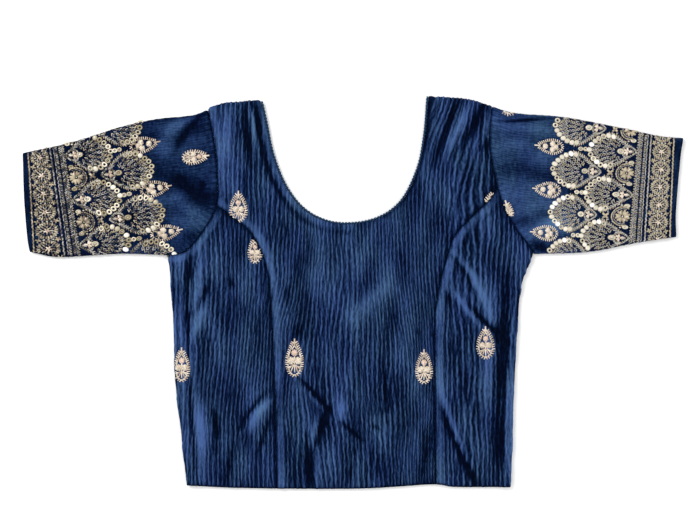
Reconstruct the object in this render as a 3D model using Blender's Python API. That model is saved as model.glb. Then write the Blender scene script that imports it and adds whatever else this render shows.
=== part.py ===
"""Choli blouse in crinkled stretch cloth, laid flat with its front up.

X runs to the right across the blouse, Y from the hem to the neck, and Z up from the surface it lies on.
Left and right are as seen from above. Sizes are in millimetres until a mesh is made.
"""

import math
from collections import namedtuple

import bpy
import numpy as np
from mathutils import Vector
from mathutils.geometry import delaunay_2d_cdt

MM = 0.001

# Thickness and laying
WALL = 1.1
SEAM_GAP = 0.3
FRONT_REST = 2.55
BACK_REST = WALL / 2
LOWEST_FRONT = 2.05

# Folds at the sides, shoulders and sleeves
SIDE_TURN = 2.2
SHOULDER_TURN = 1.6
SLEEVE_TURN = 1.7
TURN_REACH = 16.0
TURN_SHARES = (0.0, 0.25, 0.5, 0.75, 1.0)
SEAM_BEHIND = 10.0

# Crinkle of the body, raised in the outer face
RIB_PITCH = 5.0
RIB_HEIGHT = 0.8
RIB_STEP = 22.0
RIB_MARGIN = 1.3
RIB_FADE = 2.6
INNER_STEP = 14.0
INNER_FOLDS = 0.5
OUTLINE_STEP = 6.5

# Neck edging
EDGING_WIDTH = 1.5
EDGING_HEIGHT = 0.9
EDGING_STEP = 8.0
EDGING_SIDES = 6

# Sleeve rings
FRONT_COLUMNS = 19
BACK_COLUMNS = 9
TURN_COLUMNS = 5
SLEEVE_STATIONS = 12
NEARBY = 0.01

# Points on a curve that is followed closely, and rounds to find where two curves meet
CURVE_POINTS = 60
CORNER_ROUNDS = 6

NAVY = (0.028, 0.075, 0.19)
THREAD = (0.06, 0.16, 0.24)

# Outline of the blouse: x, y
NECK = ((-91, 192), (-86, 171.5), (-79, 138.5), (-66, 106.5), (-46, 82.5), (-17, 70.5),
        (19, 73.5), (46, 90.5), (63, 122.5), (70, 154.5), (74, 196.5))
HEM = ((-170, -192.5), (-113, -195.5), (4, -196.2), (79, -192), (103, -194.5), (165, -194.5))
TOP_LEFT = ((-152, 180), (-131, 189.5), (-113, 191), (-99, 192.5), (-88, 191))
TOP_RIGHT = ((71, 196.5), (103, 195), (118, 193), (130, 189.5), (146, 184))

Side = namedtuple("Side", "sign edge armhole princess sleeve_top sleeve_bottom cuff")

LEFT = Side(
    sign=-1,
    edge=((-185.5, 42), (-184.5, 30), (-182.5, 8), (-180, -27.5), (-178, -87.5), (-173, -132.5),
          (-166, -200)),
    armhole=((-145, 182.5), (-139, 152.5), (-135.6, 118), (-136.5, 86), (-151, 60), (-167, 41.5),
             (-185, 37)),
    princess=((-136.5, 87), (-122, 76.5), (-101, 58.5), (-86, 23.5), (-81, -30), (-77, -137.5),
              (-76, -200)),
    sleeve_top=((-145, 182.5), (-163, 177), (-197, 173.5), (-233, 165.5), (-281, 150.5),
                (-330, 139.5)),
    sleeve_bottom=((-185, 37), (-233, 38.5), (-293, 35.5), (-323, 40.5)),
    cuff=((-330, 139.5), (-329, 97.5), (-326, 58.5), (-323, 40.5)),
)
RIGHT = Side(
    sign=1,
    edge=((182, 44), (176, 28), (169, 8), (165, -27.5), (162, -87.5), (160, -120), (158, -200)),
    armhole=((139, 186), (137, 150), (142, 118), (150, 88), (161.6, 66.5), (172.4, 51.5),
             (181.5, 38.5)),
    princess=((144, 106), (135, 91.5), (105, 61), (95, 38.5), (84, -8), (82, -50), (83, -200)),
    sleeve_top=((139, 186), (163, 179.5), (211, 175.5), (259, 166.5), (307, 156.5), (330, 154.5)),
    sleeve_bottom=((181.5, 38.5), (235, 40.5), (283, 49.5), (323, 55.5)),
    cuff=((330, 154.5), (327, 130.5), (323, 82.5), (323, 55.5)),
)

# Folds of the laid cloth: a crest has a height above zero and a trough has one below
Fold = namedtuple("Fold", "x1 y1 x2 y2 bend width height")
FOLDS = (
    Fold(-166, 36, -156, -192, 3, 3.5, -0.5),
    Fold(-143, 12, -159, -24, 0, 4, -0.5),
    Fold(-84, -98, -114, -138, 2, 4, -0.5),
    Fold(-81, -108, -103, -140, 3, 5, 1.6),
    Fold(-80, -122, -97, -170, 2, 4, -0.5),
    Fold(-150, -118, -150, -178, 2, 5, 1.4),
    Fold(-137, -120, -137, -162, 0, 4, -0.5),
    Fold(-49, -88, -25, -118, 0, 4, -0.5),
    Fold(-40, -92, -18, -128, 3, 6, 1.5),
    Fold(-22, -104, -35, -152, 2, 4, -0.5),
    Fold(-45, -130, -45, -190, 0, 4, -0.5),
    Fold(-38, -132, -40, -188, 0, 5, 1.2),
    Fold(29, -66, 36, -118, 0, 4, -0.5),
    Fold(37, 10, -3, -32, 2, 9, 1.2),
    Fold(104, 46, 136, -24, -5, 6, 1.8),
    Fold(104, 36, 124, 0, -2, 4, -0.5),
    Fold(96, 10, 126, -34, 0, 6, 1.4),
    Fold(154, 18, 145, -168, -2, 6, -0.5),
    Fold(88, -94, 112, -180, 2, 4, -0.5),
    Fold(94, -100, 110, -166, 2, 6, 1.4),
    Fold(108, 192, 78, 138, 0, 4, -0.5),
    Fold(115, 189, 90, 140, 0, 5, 1.3),
    Fold(129, 185, 103, 142, 0, 4, -0.5),
    Fold(-124, 189, -124, 130, 2, 6, 1.2),
    Fold(-108, 190, -108, 130, 0, 4, -0.5),
    Fold(-150, 178, -182, 138, 2, 4, -0.5),
    Fold(-160, 178, -196, 146, 2, 6, 1.3),
    Fold(-178, 116, -146, 96, 3, 4, -0.5),
    Fold(146, 168, 200, 172, 2, 5, -0.5),
    Fold(178, 52, 232, 92, 3, 7, 1.4),
)


def outward(curve, sign):
    """The curve with its distance from the middle counted as plus."""
    return curve * (sign, 1)


def spline(points, steps=12):
    """A smooth curve through the points, as rows of x and y."""
    knots = np.array(points, float)
    before = 2 * knots[0] - knots[1]
    after = 2 * knots[-1] - knots[-2]
    knots = np.vstack([before, knots, after])
    share = np.linspace(0, 1, steps, endpoint=False)[:, None]
    rows = []
    for p0, p1, p2, p3 in zip(knots, knots[1:], knots[2:], knots[3:]):
        slope_in = (p2 - p0) / 2
        slope_out = (p3 - p1) / 2
        rise = share * share * (3 - 2 * share)
        rows.append(p1 + (p2 - p1) * rise + slope_in * share * (1 - share) ** 2
                    - slope_out * share**2 * (1 - share))
    return np.vstack(rows + [knots[-2:-1]])


def along(curve):
    """The distance of each point of the curve from its start."""
    return np.concatenate([[0], np.cumsum(np.hypot(*np.diff(curve, axis=0).T))])


def spaced(curve, step):
    """The curve again, with points about one step apart."""
    run = along(curve)
    count = max(int(round(run[-1] / step)), 1) + 1
    at = np.linspace(0, run[-1], count)
    return np.column_stack([np.interp(at, run, curve[:, k]) for k in (0, 1)])


def beside(curve, distance):
    """The curve moved to its left by a distance."""
    way = np.gradient(curve, axis=0)
    way /= np.hypot(way[:, 0], way[:, 1])[:, None]
    return curve + distance * np.column_stack([-way[:, 1], way[:, 0]])


def x_at(curve, y):
    order = np.argsort(curve[:, 1])
    return np.interp(y, curve[order, 1], curve[order, 0])


def y_at(curve, x):
    order = np.argsort(curve[:, 0])
    return np.interp(x, curve[order, 0], curve[order, 1])


def fold_lift(x, y):
    """How far the folds lift or sink the cloth at a place."""
    lift = np.zeros(np.broadcast(x, y).shape)
    for fold in FOLDS:
        way_x, way_y = fold.x2 - fold.x1, fold.y2 - fold.y1
        length = math.hypot(way_x, way_y)
        share = ((x - fold.x1) * way_x + (y - fold.y1) * way_y) / length**2
        across = ((x - fold.x1) * way_y - (y - fold.y1) * way_x) / length
        across = across - fold.bend * 4 * share * (1 - share)
        fade = np.sin(math.pi * np.clip((share + 0.1) / 1.2, 0, 1))
        lift = lift + fold.height * fade * np.exp(-((across / fold.width) ** 2))
    return lift


def over_run(out, edge, turn):
    """How far along the cloth a place on its upper layer is, for a fold whose outer line is at edge."""
    start = edge - turn
    return np.where(out < start, out, start + turn * np.arcsin(np.clip((out - start) / turn, 0, 1)))


def under_run(out, edge, turn):
    """The same for a place on the layer that has turned under."""
    start = edge - turn
    bend = np.arcsin(np.clip((out - start) / turn, 0, 1))
    return start + turn * (math.pi - bend) + np.maximum(start - out, 0)


def turned(run, edge, turn):
    """How far out a place along the cloth lies, and the share of the half turn it has made."""
    start = edge - turn
    angle = np.clip((run - start) / turn, 0, math.pi)
    past = np.maximum(run - start - math.pi * turn, 0)
    out = np.where(run < start, run, start + turn * np.sin(angle) - past)
    return out, angle / math.pi


def layer_height(x, y, run, edge, turn, folds):
    """Height of the middle of the wall over the surface, on the flat and round the turn."""
    start = edge - turn
    near = np.clip(1 - (start - run) / TURN_REACH, 0, 1)
    near = near * near * (3 - 2 * near)
    flat = np.maximum(FRONT_REST + folds * fold_lift(x, y) * (1 - near), LOWEST_FRONT)
    top = BACK_REST + 2 * turn
    angle = np.clip((run - start) / turn, 0, math.pi)
    bent = BACK_REST + turn * (1 + np.cos(angle))
    return np.where(run < start, flat + (top - flat) * near, bent)


class SidePiece:
    """A side front: flat from the princess seam, round the side fold and a little way under."""

    def __init__(self, side):
        self.sign = side.sign
        self.edge = outward(spline(side.edge), side.sign)

    def edge_at(self, y):
        return x_at(self.edge, y) - WALL / 2

    def place(self, x, y, folds=1.0):
        edge = self.edge_at(y)
        run = self.sign * x
        out, share = turned(run, edge, SIDE_TURN)
        z = layer_height(self.sign * out, y, run, edge, SIDE_TURN, folds)
        return np.column_stack([self.sign * out, y, z]), share

    def over(self, points):
        run = over_run(points[:, 0], self.edge_at(points[:, 1]), SIDE_TURN)
        return np.column_stack([run, points[:, 1]])

    def under(self, points):
        run = under_run(points[:, 0], self.edge_at(points[:, 1]), SIDE_TURN)
        return np.column_stack([run, points[:, 1]])

    def rib_rows(self, _, rows):
        """Heights of the points on a rib, which runs along the side fold."""
        return rows

    def fold_points(self, outline):
        """Points round the side fold, in lines along it."""
        levels = np.arange(outline[:, 1].min(), outline[:, 1].max(), INNER_STEP)
        start = self.edge_at(levels) - SIDE_TURN
        return np.vstack([
            np.column_stack([self.sign * (start + math.pi * SIDE_TURN * share), levels])
            for share in TURN_SHARES
        ])


class CentrePiece:
    """The middle front: flat from the hem to the shoulders, over them and a little way under."""

    def __init__(self):
        self.left = spline(TOP_LEFT)
        self.right = spline(TOP_RIGHT)

    def edge_at(self, x):
        return np.where(x < 0, y_at(self.left, x), y_at(self.right, x)) - WALL / 2

    def place(self, x, y, folds=1.0):
        edge = self.edge_at(x)
        out, share = turned(y, edge, SHOULDER_TURN)
        z = layer_height(x, out, y, edge, SHOULDER_TURN, folds)
        return np.column_stack([x, out, z]), share

    def over(self, points):
        run = over_run(points[:, 1], self.edge_at(points[:, 0]), SHOULDER_TURN)
        return np.column_stack([points[:, 0], run])

    def under(self, points):
        run = under_run(points[:, 1], self.edge_at(points[:, 0]), SHOULDER_TURN)
        return np.column_stack([points[:, 0], run])

    def rib_rows(self, x, rows):
        """Heights of the points on a rib: the rows, and closer ones round the shoulder fold."""
        fold = self.edge_at(x) - SHOULDER_TURN + math.pi * SHOULDER_TURN * np.array(TURN_SHARES)
        clear = (rows < fold[0] - RIB_STEP / 4) | (rows > fold[-1] + RIB_STEP / 4)
        return np.sort(np.concatenate([rows[clear], fold]))

    def fold_points(self, outline):
        """Points round the shoulder folds, in lines along them."""
        across = np.arange(outline[:, 0].min(), outline[:, 0].max(), RIB_PITCH)
        start = self.edge_at(across) - SHOULDER_TURN
        return np.vstack([
            np.column_stack([across, start + math.pi * SHOULDER_TURN * share])
            for share in TURN_SHARES
        ])


def inside(points, outline, margin):
    """Which points lie within the outline by at least the margin."""
    ends = np.roll(outline, -1, axis=0)
    crossings = np.zeros(len(points), int)
    nearest = np.full(len(points), np.inf)
    for (x1, y1), (x2, y2) in zip(outline, ends):
        level = (y1 > points[:, 1]) != (y2 > points[:, 1])
        if y1 != y2:
            reach = x1 + (points[:, 1] - y1) * (x2 - x1) / (y2 - y1)
            crossings += level & (points[:, 0] < reach)
        way = np.array([x2 - x1, y2 - y1])
        share = np.clip((points - (x1, y1)) @ way / (way @ way), 0, 1)
        gap = np.hypot(*(points - (x1, y1) - share[:, None] * way).T)
        nearest = np.minimum(nearest, gap)
    return (crossings % 2 == 1) & (nearest > margin)


def triangles(points, outline_count, lines):
    """Triangles over the points inside the outline, which comes first among them and turns left."""
    flat = [Vector((float(x), float(y))) for x, y in points]
    made = delaunay_2d_cdt(flat, lines, [list(range(outline_count))], 1, 1e-5)
    if len(made[0]) != len(points):
        raise ValueError("rib lines cross each other or the outline")
    first = [origin[0] for origin in made[3]]
    faces = []
    for face in made[2]:
        a, b, c = (first[corner] for corner in face)
        (bx, by), (cx, cy) = points[b] - points[a], points[c] - points[a]
        faces.append((a, b, c) if bx * cy > by * cx else (a, c, b))
    return faces


def rib_lines(piece, outline):
    """Points on the crests and troughs of the crinkle, their heights, and the lines that join them."""
    low, high = outline.min(axis=0), outline.max(axis=0)
    half = RIB_PITCH / 2
    rows = np.arange(low[1] - RIB_STEP, high[1] + RIB_STEP, RIB_STEP)
    places, heights, lines = [], [], []
    for number in range(math.floor(low[0] / half), math.ceil(high[0] / half) + 1):
        y = piece.rib_rows(number * half, rows + RIB_STEP / 2 * (number % 2))
        x = number * half + 1.1 * np.sin(y / 13.5 + 0.35 * number)
        x = x + 0.6 * np.sin(y / 6.1 + 0.8 * number)
        column = np.column_stack([x, y])
        kept = inside(column, outline, RIB_MARGIN)
        joined = inside((column[1:] + column[:-1]) / 2, outline, RIB_MARGIN / 2)
        crest = RIB_HEIGHT * (0.8 + 0.2 * math.sin(2.4 * number)) if number % 2 else 0.0
        for row in np.flatnonzero(kept):
            if row and kept[row - 1] and joined[row - 1]:
                lines.append((len(places) - 1, len(places)))
            places.append(column[row])
            heights.append(crest * (0.85 + 0.15 * math.sin(1.7 * number + 0.09 * y[row])))
    return np.array(places), np.array(heights), lines


def apart(points, others, gap):
    """The points that are at least a gap from every one of the others."""
    if not len(others):
        return points
    reach = np.hypot(*(points[:, None, :] - others[None, :, :]).transpose(2, 0, 1))
    return points[reach.min(axis=1) >= gap]


def inner_grid(outline, fold_points):
    """Points over the plain inner face, coarser than the crinkle but close round a fold."""
    low, high = outline.min(axis=0), outline.max(axis=0)
    places = []
    for row, y in enumerate(np.arange(low[1], high[1], INNER_STEP)):
        for x in np.arange(low[0] + (row % 2) * INNER_STEP / 2, high[0], INNER_STEP):
            places.append((x, y))
    places = apart(np.array(places), fold_points, INNER_STEP / 3)
    places = places[inside(places, outline, INNER_STEP / 4)]
    return np.vstack([places, fold_points[inside(fold_points, outline, RIB_MARGIN)]])


def facing(piece, points, folds=1.0):
    """The outward direction of the laid wall at each point."""
    step = 0.05
    x, y = points[:, 0], points[:, 1]
    across = piece.place(x + step, y, folds)[0] - piece.place(x - step, y, folds)[0]
    upward = piece.place(x, y + step, folds)[0] - piece.place(x, y - step, folds)[0]
    normal = np.cross(across, upward)
    return normal / np.linalg.norm(normal, axis=1)[:, None]


def wall_face(piece, points, ribs, side, folds):
    """The outer face of the wall where side is 1, and the inner one where it is -1."""
    middle, share = piece.place(points[:, 0], points[:, 1], folds)
    fade = np.clip(RIB_FADE * (0.6 - share), 0, 1)
    reach = side * WALL / 2 + ribs * fade
    return middle + facing(piece, points, folds) * reach[:, None]


def cloth(name, points, faces, colour=NAVY):
    """A named object of closed cloth, from points in millimetres."""
    mesh = bpy.data.meshes.new(name)
    mesh.from_pydata([tuple(float(value) * MM for value in point) for point in points], [], faces)
    mesh.validate()
    mesh.update()
    mesh.shade_smooth()
    mesh.set_sharp_from_angle(angle=math.radians(50))
    piece = bpy.data.objects.new(name, mesh)
    bpy.context.scene.collection.objects.link(piece)
    material = bpy.data.materials.new(name)
    material.use_nodes = True
    surface = material.node_tree.nodes["Principled BSDF"]
    surface.inputs["Base Color"].default_value = (*colour, 1.0)
    surface.inputs["Roughness"].default_value = 0.78
    surface.inputs["Metallic"].default_value = 0.0
    material.diffuse_color = (*colour, 1.0)
    mesh.materials.append(material)
    return piece


def walled(outer_count, edge_count, outer_faces, inner_faces):
    """The faces of a wall whose two sides share an outline: both sides, and the rim between them."""
    faces = list(outer_faces)
    faces += [(a + outer_count, c + outer_count, b + outer_count) for a, b, c in inner_faces]
    for here in range(edge_count):
        there = (here + 1) % edge_count
        faces.append((here, here + outer_count, there + outer_count))
        faces.append((here, there + outer_count, there))
    return faces


def finer_round_folds(piece, outline):
    """The outline with closer points where it goes round a fold."""
    shares = piece.place(outline[:, 0], outline[:, 1])[1]
    rows = []
    for number, here in enumerate(outline):
        beyond = (number + 1) % len(outline)
        parts = 1 + int(abs(shares[beyond] - shares[number]) / TURN_SHARES[1] + 0.5)
        rows += [here + (outline[beyond] - here) * part / parts for part in range(parts)]
    return np.array(rows)


def crinkled_panel(name, piece, outline):
    """A front panel: a wall with the crinkle and folds in its outer face and a plainer inner face."""
    outline = finer_round_folds(piece, outline)
    ribs, heights, lines = rib_lines(piece, outline)
    edge_count = len(outline)
    lines = [(a + edge_count, b + edge_count) for a, b in lines]
    outer = np.vstack([outline, ribs])
    inner = np.vstack([outline, inner_grid(outline, piece.fold_points(outline))])
    heights = np.concatenate([np.zeros(edge_count), heights])
    points = np.vstack([
        wall_face(piece, outer, heights, 1, 1.0),
        wall_face(piece, inner, np.zeros(len(inner)), -1, INNER_FOLDS),
    ])
    faces = walled(len(outer), edge_count,
                   triangles(outer, edge_count, lines), triangles(inner, edge_count, []))
    return cloth(name, points, faces)


def ring(*stretches, sign=1):
    """An outline from stretches that follow each other, without doubled corners, turning left."""
    points = np.vstack([spaced(stretch, OUTLINE_STEP) for stretch in stretches])
    gap = np.hypot(*(points - np.roll(points, 1, axis=0)).T)
    points = points[gap > OUTLINE_STEP / 10] * (sign, 1)
    x, y = points.T
    area = np.sum(x * np.roll(y, -1) - np.roll(x, -1) * y)
    return points if area > 0 else points[::-1]


def between(curve, low, high, column=1):
    """The stretch of a curve from one height to another, or from one place across if column is 0."""
    order = curve[np.argsort(curve[:, column])]
    other = 1 - column
    ends = np.empty((2, 2))
    ends[:, column] = (low, high)
    ends[:, other] = np.interp((low, high), order[:, column], order[:, other])
    middle = order[(order[:, column] > low) & (order[:, column] < high)]
    return np.vstack([ends[:1], middle, ends[1:]])


def body_armhole(side):
    """The armhole edge of the body, a seam's width inside the sleeve's, outward counted as plus."""
    return beside(outward(spline(side.armhole), side.sign), -SEAM_GAP / 2)


def side_seam(piece, hem, arm, behind):
    """The side seam on the underside, a way inside the fold, from the hem up to the armhole."""
    levels = np.linspace(hem[:, 1].min(), arm[-1, 1], CURVE_POINTS)
    seam = np.column_stack([piece.edge_at(levels) - behind, levels])
    foot, head = hem[:, 1].mean(), arm[0, 1]
    for _ in range(CORNER_ROUNDS):
        foot = float(y_at(hem, x_at(seam, foot)))
        head = float(y_at(arm, x_at(seam, head)))
    return between(seam, foot, head)


def side_front(name, side):
    """A side front, from the princess seam to the side seam on the underside."""
    piece = SidePiece(side)
    hem = outward(spline(HEM), side.sign)
    seam = outward(spline(side.princess), side.sign) + (SEAM_GAP / 2, 0)
    armhole = body_armhole(side)
    behind = SIDE_TURN + SEAM_BEHIND
    low, high = armhole[-1, 1], seam[0, 1]
    armpit = piece.edge_at(low)
    armhole[-1, 0] = armpit
    arm = between(armhole, low, high)
    start = x_at(seam, y_at(hem, seam[-1, 0]))
    fold = piece.edge_at(y_at(hem, armpit))
    bottom = y_at(hem, start)
    under = side_seam(piece, hem, arm, behind)
    outline = ring(
        between(seam, bottom, high)[::-1],
        piece.over(between(hem, start, fold, column=0)),
        piece.under(between(hem, under[0, 0], fold, column=0)[::-1]),
        piece.under(under),
        piece.under(between(arm, under[-1, 0], armpit, column=0)),
        piece.over(arm),
        sign=side.sign,
    )
    return crinkled_panel(name, piece, outline)


def neck_edge():
    """The neck edge of the panels, set back from the edging, as its left and right halves."""
    curve = beside(spline(NECK), -(EDGING_WIDTH + SEAM_GAP))
    lowest = int(np.argmin(curve[:, 1]))
    return curve[:lowest + 1], curve[lowest:]


def strap(piece, side, neck_half, lowest):
    """One strap of the middle front, from the princess seam up, over, under and down the neck."""
    armhole = body_armhole(side) * (side.sign, 1)
    behind = SHOULDER_TURN + SEAM_BEHIND
    top = piece.edge_at(armhole[0, 0])
    arm_over = between(armhole, lowest, top)
    arm_under = between(armhole, top - behind, top)[::-1]
    inner_top = piece.edge_at(x_at(neck_half, top))
    neck_under = between(neck_half, inner_top - behind, inner_top)
    neck_over = between(neck_half, neck_half[:, 1].min(), inner_top)[::-1]
    seam = np.vstack([piece.under(arm_under[-1:]), piece.under(neck_under[:1])])
    return [piece.over(arm_over), piece.under(arm_under), seam, piece.under(neck_under),
            piece.over(neck_over)]


def centre_front(name):
    """The middle front, between the princess seams and over the shoulders."""
    piece = CentrePiece()
    hem = spline(HEM)
    left_neck, right_neck = neck_edge()
    left_seam = spline(LEFT.princess) + (SEAM_GAP / 2, 0)
    right_seam = spline(RIGHT.princess) - (SEAM_GAP / 2, 0)
    low_left, low_right = left_seam[-1, 0], right_seam[-1, 0]
    up_right = between(right_seam, y_at(hem, low_right), right_seam[0, 1])
    down_left = between(left_seam, y_at(hem, low_left), left_seam[0, 1])[::-1]
    right_strap = strap(piece, RIGHT, right_neck, right_seam[0, 1])
    left_strap = strap(piece, LEFT, left_neck, left_seam[0, 1])
    outline = ring(
        between(hem, low_left, low_right, column=0),
        up_right,
        *right_strap,
        *[stretch[::-1] for stretch in reversed(left_strap)],
        down_left,
    )
    return crinkled_panel(name, piece, outline)


def back_half(side, neck_half):
    """The outline of half the back, from the hem's middle up to the neck's, outward as plus."""
    piece = SidePiece(side)
    shoulders = CentrePiece()
    hem = outward(spline(HEM), side.sign)
    armhole = body_armhole(side)
    neck = outward(neck_half, side.sign)
    low_arm = between(armhole, armhole[-1, 1], armhole[-1, 1] + 3 * SEAM_BEHIND)
    seam = side_seam(piece, hem, low_arm, SIDE_TURN + SEAM_BEHIND + SEAM_GAP)
    down = SHOULDER_TURN + SEAM_BEHIND + SEAM_GAP
    arm_top = shoulders.edge_at(side.sign * armhole[0, 0]) - down
    neck_top = shoulders.edge_at(side.sign * x_at(neck, arm_top)) - down
    arm = between(armhole, seam[-1, 1], arm_top)
    inner = between(neck, neck[:, 1].min(), neck_top)[::-1]
    return [
        between(hem, 0.0, seam[0, 0], column=0),
        seam,
        arm,
        np.vstack([arm[-1:], inner[:1]]),
        inner,
    ]


def back_panel(name):
    """The plain back: a flat wall on the surface, under the front."""
    left_neck, right_neck = neck_edge()
    right = back_half(RIGHT, right_neck)
    left = [stretch * (-1, 1) for stretch in back_half(LEFT, left_neck)]
    outline = ring(*right, *[stretch[::-1] for stretch in reversed(left)])
    edge_count = len(outline)
    flat = np.vstack([outline, inner_grid(outline, np.empty((0, 2)))])
    upper = np.column_stack([flat, np.full(len(flat), WALL)])
    lower = np.column_stack([flat, np.zeros(len(flat))])
    faces = triangles(flat, edge_count, [])
    return cloth(name, np.vstack([upper, lower]), walled(len(flat), edge_count, faces, faces))


def share_at(curve, share):
    """Points at shares of a curve's length."""
    run = along(curve)
    return np.column_stack([np.interp(share * run[-1], run, curve[:, k]) for k in (0, 1)])


def sleeve_ring():
    """The columns of a sleeve ring: layer, share across, and angle round a fold."""
    rows = [("front", share, 0.0) for share in np.linspace(0, 1, FRONT_COLUMNS)]
    rows += [("bottom", 1.0, angle) for angle in np.linspace(0, math.pi, TURN_COLUMNS + 2)[1:-1]]
    rows += [("back", share, math.pi) for share in np.linspace(1, 0, BACK_COLUMNS)]
    rows += [("top", 0.0, angle) for angle in np.linspace(math.pi, 0, TURN_COLUMNS + 2)[1:-1]]
    return rows


def patch(side, along_share, across_share):
    """A place on the laid sleeve, blended from its four edges: armhole, cuff, top and bottom."""
    half = (0, WALL / 2)
    armhole = beside(outward(spline(side.armhole), side.sign), SEAM_GAP / 2)
    armhole[0, 1] -= WALL / 2
    armhole[-1, 0] -= WALL / 2
    cuff = outward(spline(side.cuff), side.sign)
    top = outward(spline(side.sleeve_top), side.sign) - half
    bottom = outward(spline(side.sleeve_bottom), side.sign) + half
    top[0], bottom[0] = armhole[0], armhole[-1]
    cuff[0], cuff[-1] = top[-1], bottom[-1]
    u = np.atleast_1d(along_share)[:, None]
    v = np.atleast_1d(across_share)[:, None]
    mixed = (1 - u) * share_at(armhole, v[:, 0]) + u * share_at(cuff, v[:, 0])
    mixed = mixed + (1 - v) * share_at(top, u[:, 0]) + v * share_at(bottom, u[:, 0])
    corners = (1 - u) * (1 - v) * armhole[0] + (1 - u) * v * armhole[-1]
    return mixed - corners - u * (1 - v) * cuff[0] - u * v * cuff[-1]


def sleeve_rings(side, reach, folds):
    """Rings of points round a sleeve, a reach out from the middle of its wall."""
    rings = []
    columns = sleeve_ring()
    for u in np.linspace(0, 1, SLEEVE_STATIONS):
        across = np.linspace(0, 1, CURVE_POINTS)
        width = along(patch(side, np.full(CURVE_POINTS, u), across))[-1]
        turn = SLEEVE_TURN / width
        points = []
        for layer, share, angle in columns:
            sunk = turn * (1 - math.sin(angle)) if layer in ("top", "bottom") else turn
            v = {"top": sunk, "bottom": 1 - sunk}.get(layer, turn + share * (1 - 2 * turn))
            (x, y), = patch(side, [u], [v])
            ends = [max(v - NEARBY, 0), min(v + NEARBY, 1)]
            (x1, y1), (x2, y2) = patch(side, [u, u], ends)
            way = np.array([x2 - x1, y2 - y1]) / math.hypot(x2 - x1, y2 - y1)
            lean = {"top": -math.sin(angle), "bottom": math.sin(angle)}.get(layer, 0.0)
            z = BACK_REST + SLEEVE_TURN * (1 + math.cos(angle))
            if layer == "front":
                near = max(0.0, 1 - min(share, 1 - share) * width / TURN_REACH)
                near = near * near * (3 - 2 * near)
                lift = folds * float(fold_lift(np.array(side.sign * x), np.array(y)))
                flat = max(FRONT_REST + lift * (1 - near), LOWEST_FRONT)
                z = flat + (z - flat) * near
            points.append((side.sign * (x + reach * lean * way[0]), y + reach * lean * way[1],
                           z + reach * math.cos(angle)))
        rings.append(points)
    return np.array(rings)


def sleeve(name, side):
    """A sleeve: a flattened tube from the armhole to the cuff, open at both ends."""
    outer = sleeve_rings(side, WALL / 2, 1.0)
    inner = sleeve_rings(side, -WALL / 2, INNER_FOLDS)
    stations, columns = outer.shape[:2]
    base = stations * columns
    points = np.vstack([outer.reshape(-1, 3), inner.reshape(-1, 3)])
    faces = []
    for column in range(columns):
        beyond = (column + 1) % columns
        for station in range(stations - 1):
            a, b = station * columns + column, station * columns + beyond
            c, d = b + columns, a + columns
            faces += [(a, b, c), (a, c, d), (base + a, base + c, base + b),
                      (base + a, base + d, base + c)]
        faces += [(column, base + column, base + beyond), (column, base + beyond, beyond)]
        last = base - columns
        faces += [(last + column, base + last + beyond, base + last + column),
                  (last + column, last + beyond, base + last + beyond)]
    if side.sign < 0:
        faces = [face[::-1] for face in faces]
    return cloth(name, points, faces)


def tube(name, path, normals):
    """A flattened cord along a path, closed at its ends."""
    way = np.gradient(path, axis=0)
    way /= np.linalg.norm(way, axis=1)[:, None]
    aside = np.cross(normals, way)
    points = []
    for number in range(len(path)):
        for step in range(EDGING_SIDES):
            angle = 2 * math.pi * step / EDGING_SIDES
            points.append(path[number] + aside[number] * EDGING_WIDTH / 2 * math.cos(angle)
                          + normals[number] * EDGING_HEIGHT / 2 * math.sin(angle))
    faces = []
    for number in range(len(path) - 1):
        for step in range(EDGING_SIDES):
            a = number * EDGING_SIDES + step
            b = number * EDGING_SIDES + (step + 1) % EDGING_SIDES
            faces += [(a, b, b + EDGING_SIDES), (a, b + EDGING_SIDES, a + EDGING_SIDES)]
    last = (len(path) - 1) * EDGING_SIDES
    for step in range(1, EDGING_SIDES - 1):
        faces += [(0, step + 1, step), (last, last + step, last + step + 1)]
    return cloth(name, points, faces, THREAD)


def edging_ends(piece, curve):
    """The shoulder fold's height at each end of a neck curve."""
    return piece.edge_at(curve[[0, -1], 0])


def front_edging(name):
    """The neck edging of the front, over the shoulders and down to the shoulder seams."""
    piece = CentrePiece()
    curve = beside(spline(NECK), -EDGING_WIDTH / 2)
    left_top, right_top = edging_ends(piece, curve)
    lowest = int(np.argmin(curve[:, 1]))
    left, right = curve[:lowest + 1], curve[lowest:]
    middle = np.vstack([
        between(left, left[-1, 1], left_top - 2 * SHOULDER_TURN)[::-1],
        between(right, right[0, 1], right_top - 2 * SHOULDER_TURN)[1:],
    ])
    ends = []
    for half, top in ((left, left_top), (right, right_top)):
        start = top - SHOULDER_TURN
        x = x_at(half, start)
        turn = start + math.pi * SHOULDER_TURN * np.linspace(0, 1, TURN_COLUMNS)
        under = piece.under(between(half, start - SEAM_BEHIND, start)[::-1])
        under = spaced(under, EDGING_STEP / 2)[1:]
        ends.append(np.vstack([np.column_stack([np.full(len(turn), x), turn]), under]))
    pattern = np.vstack([ends[0][::-1], spaced(middle, EDGING_STEP), ends[1]])
    path, _ = piece.place(pattern[:, 0], pattern[:, 1])
    return tube(name, path, facing(piece, pattern))


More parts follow.
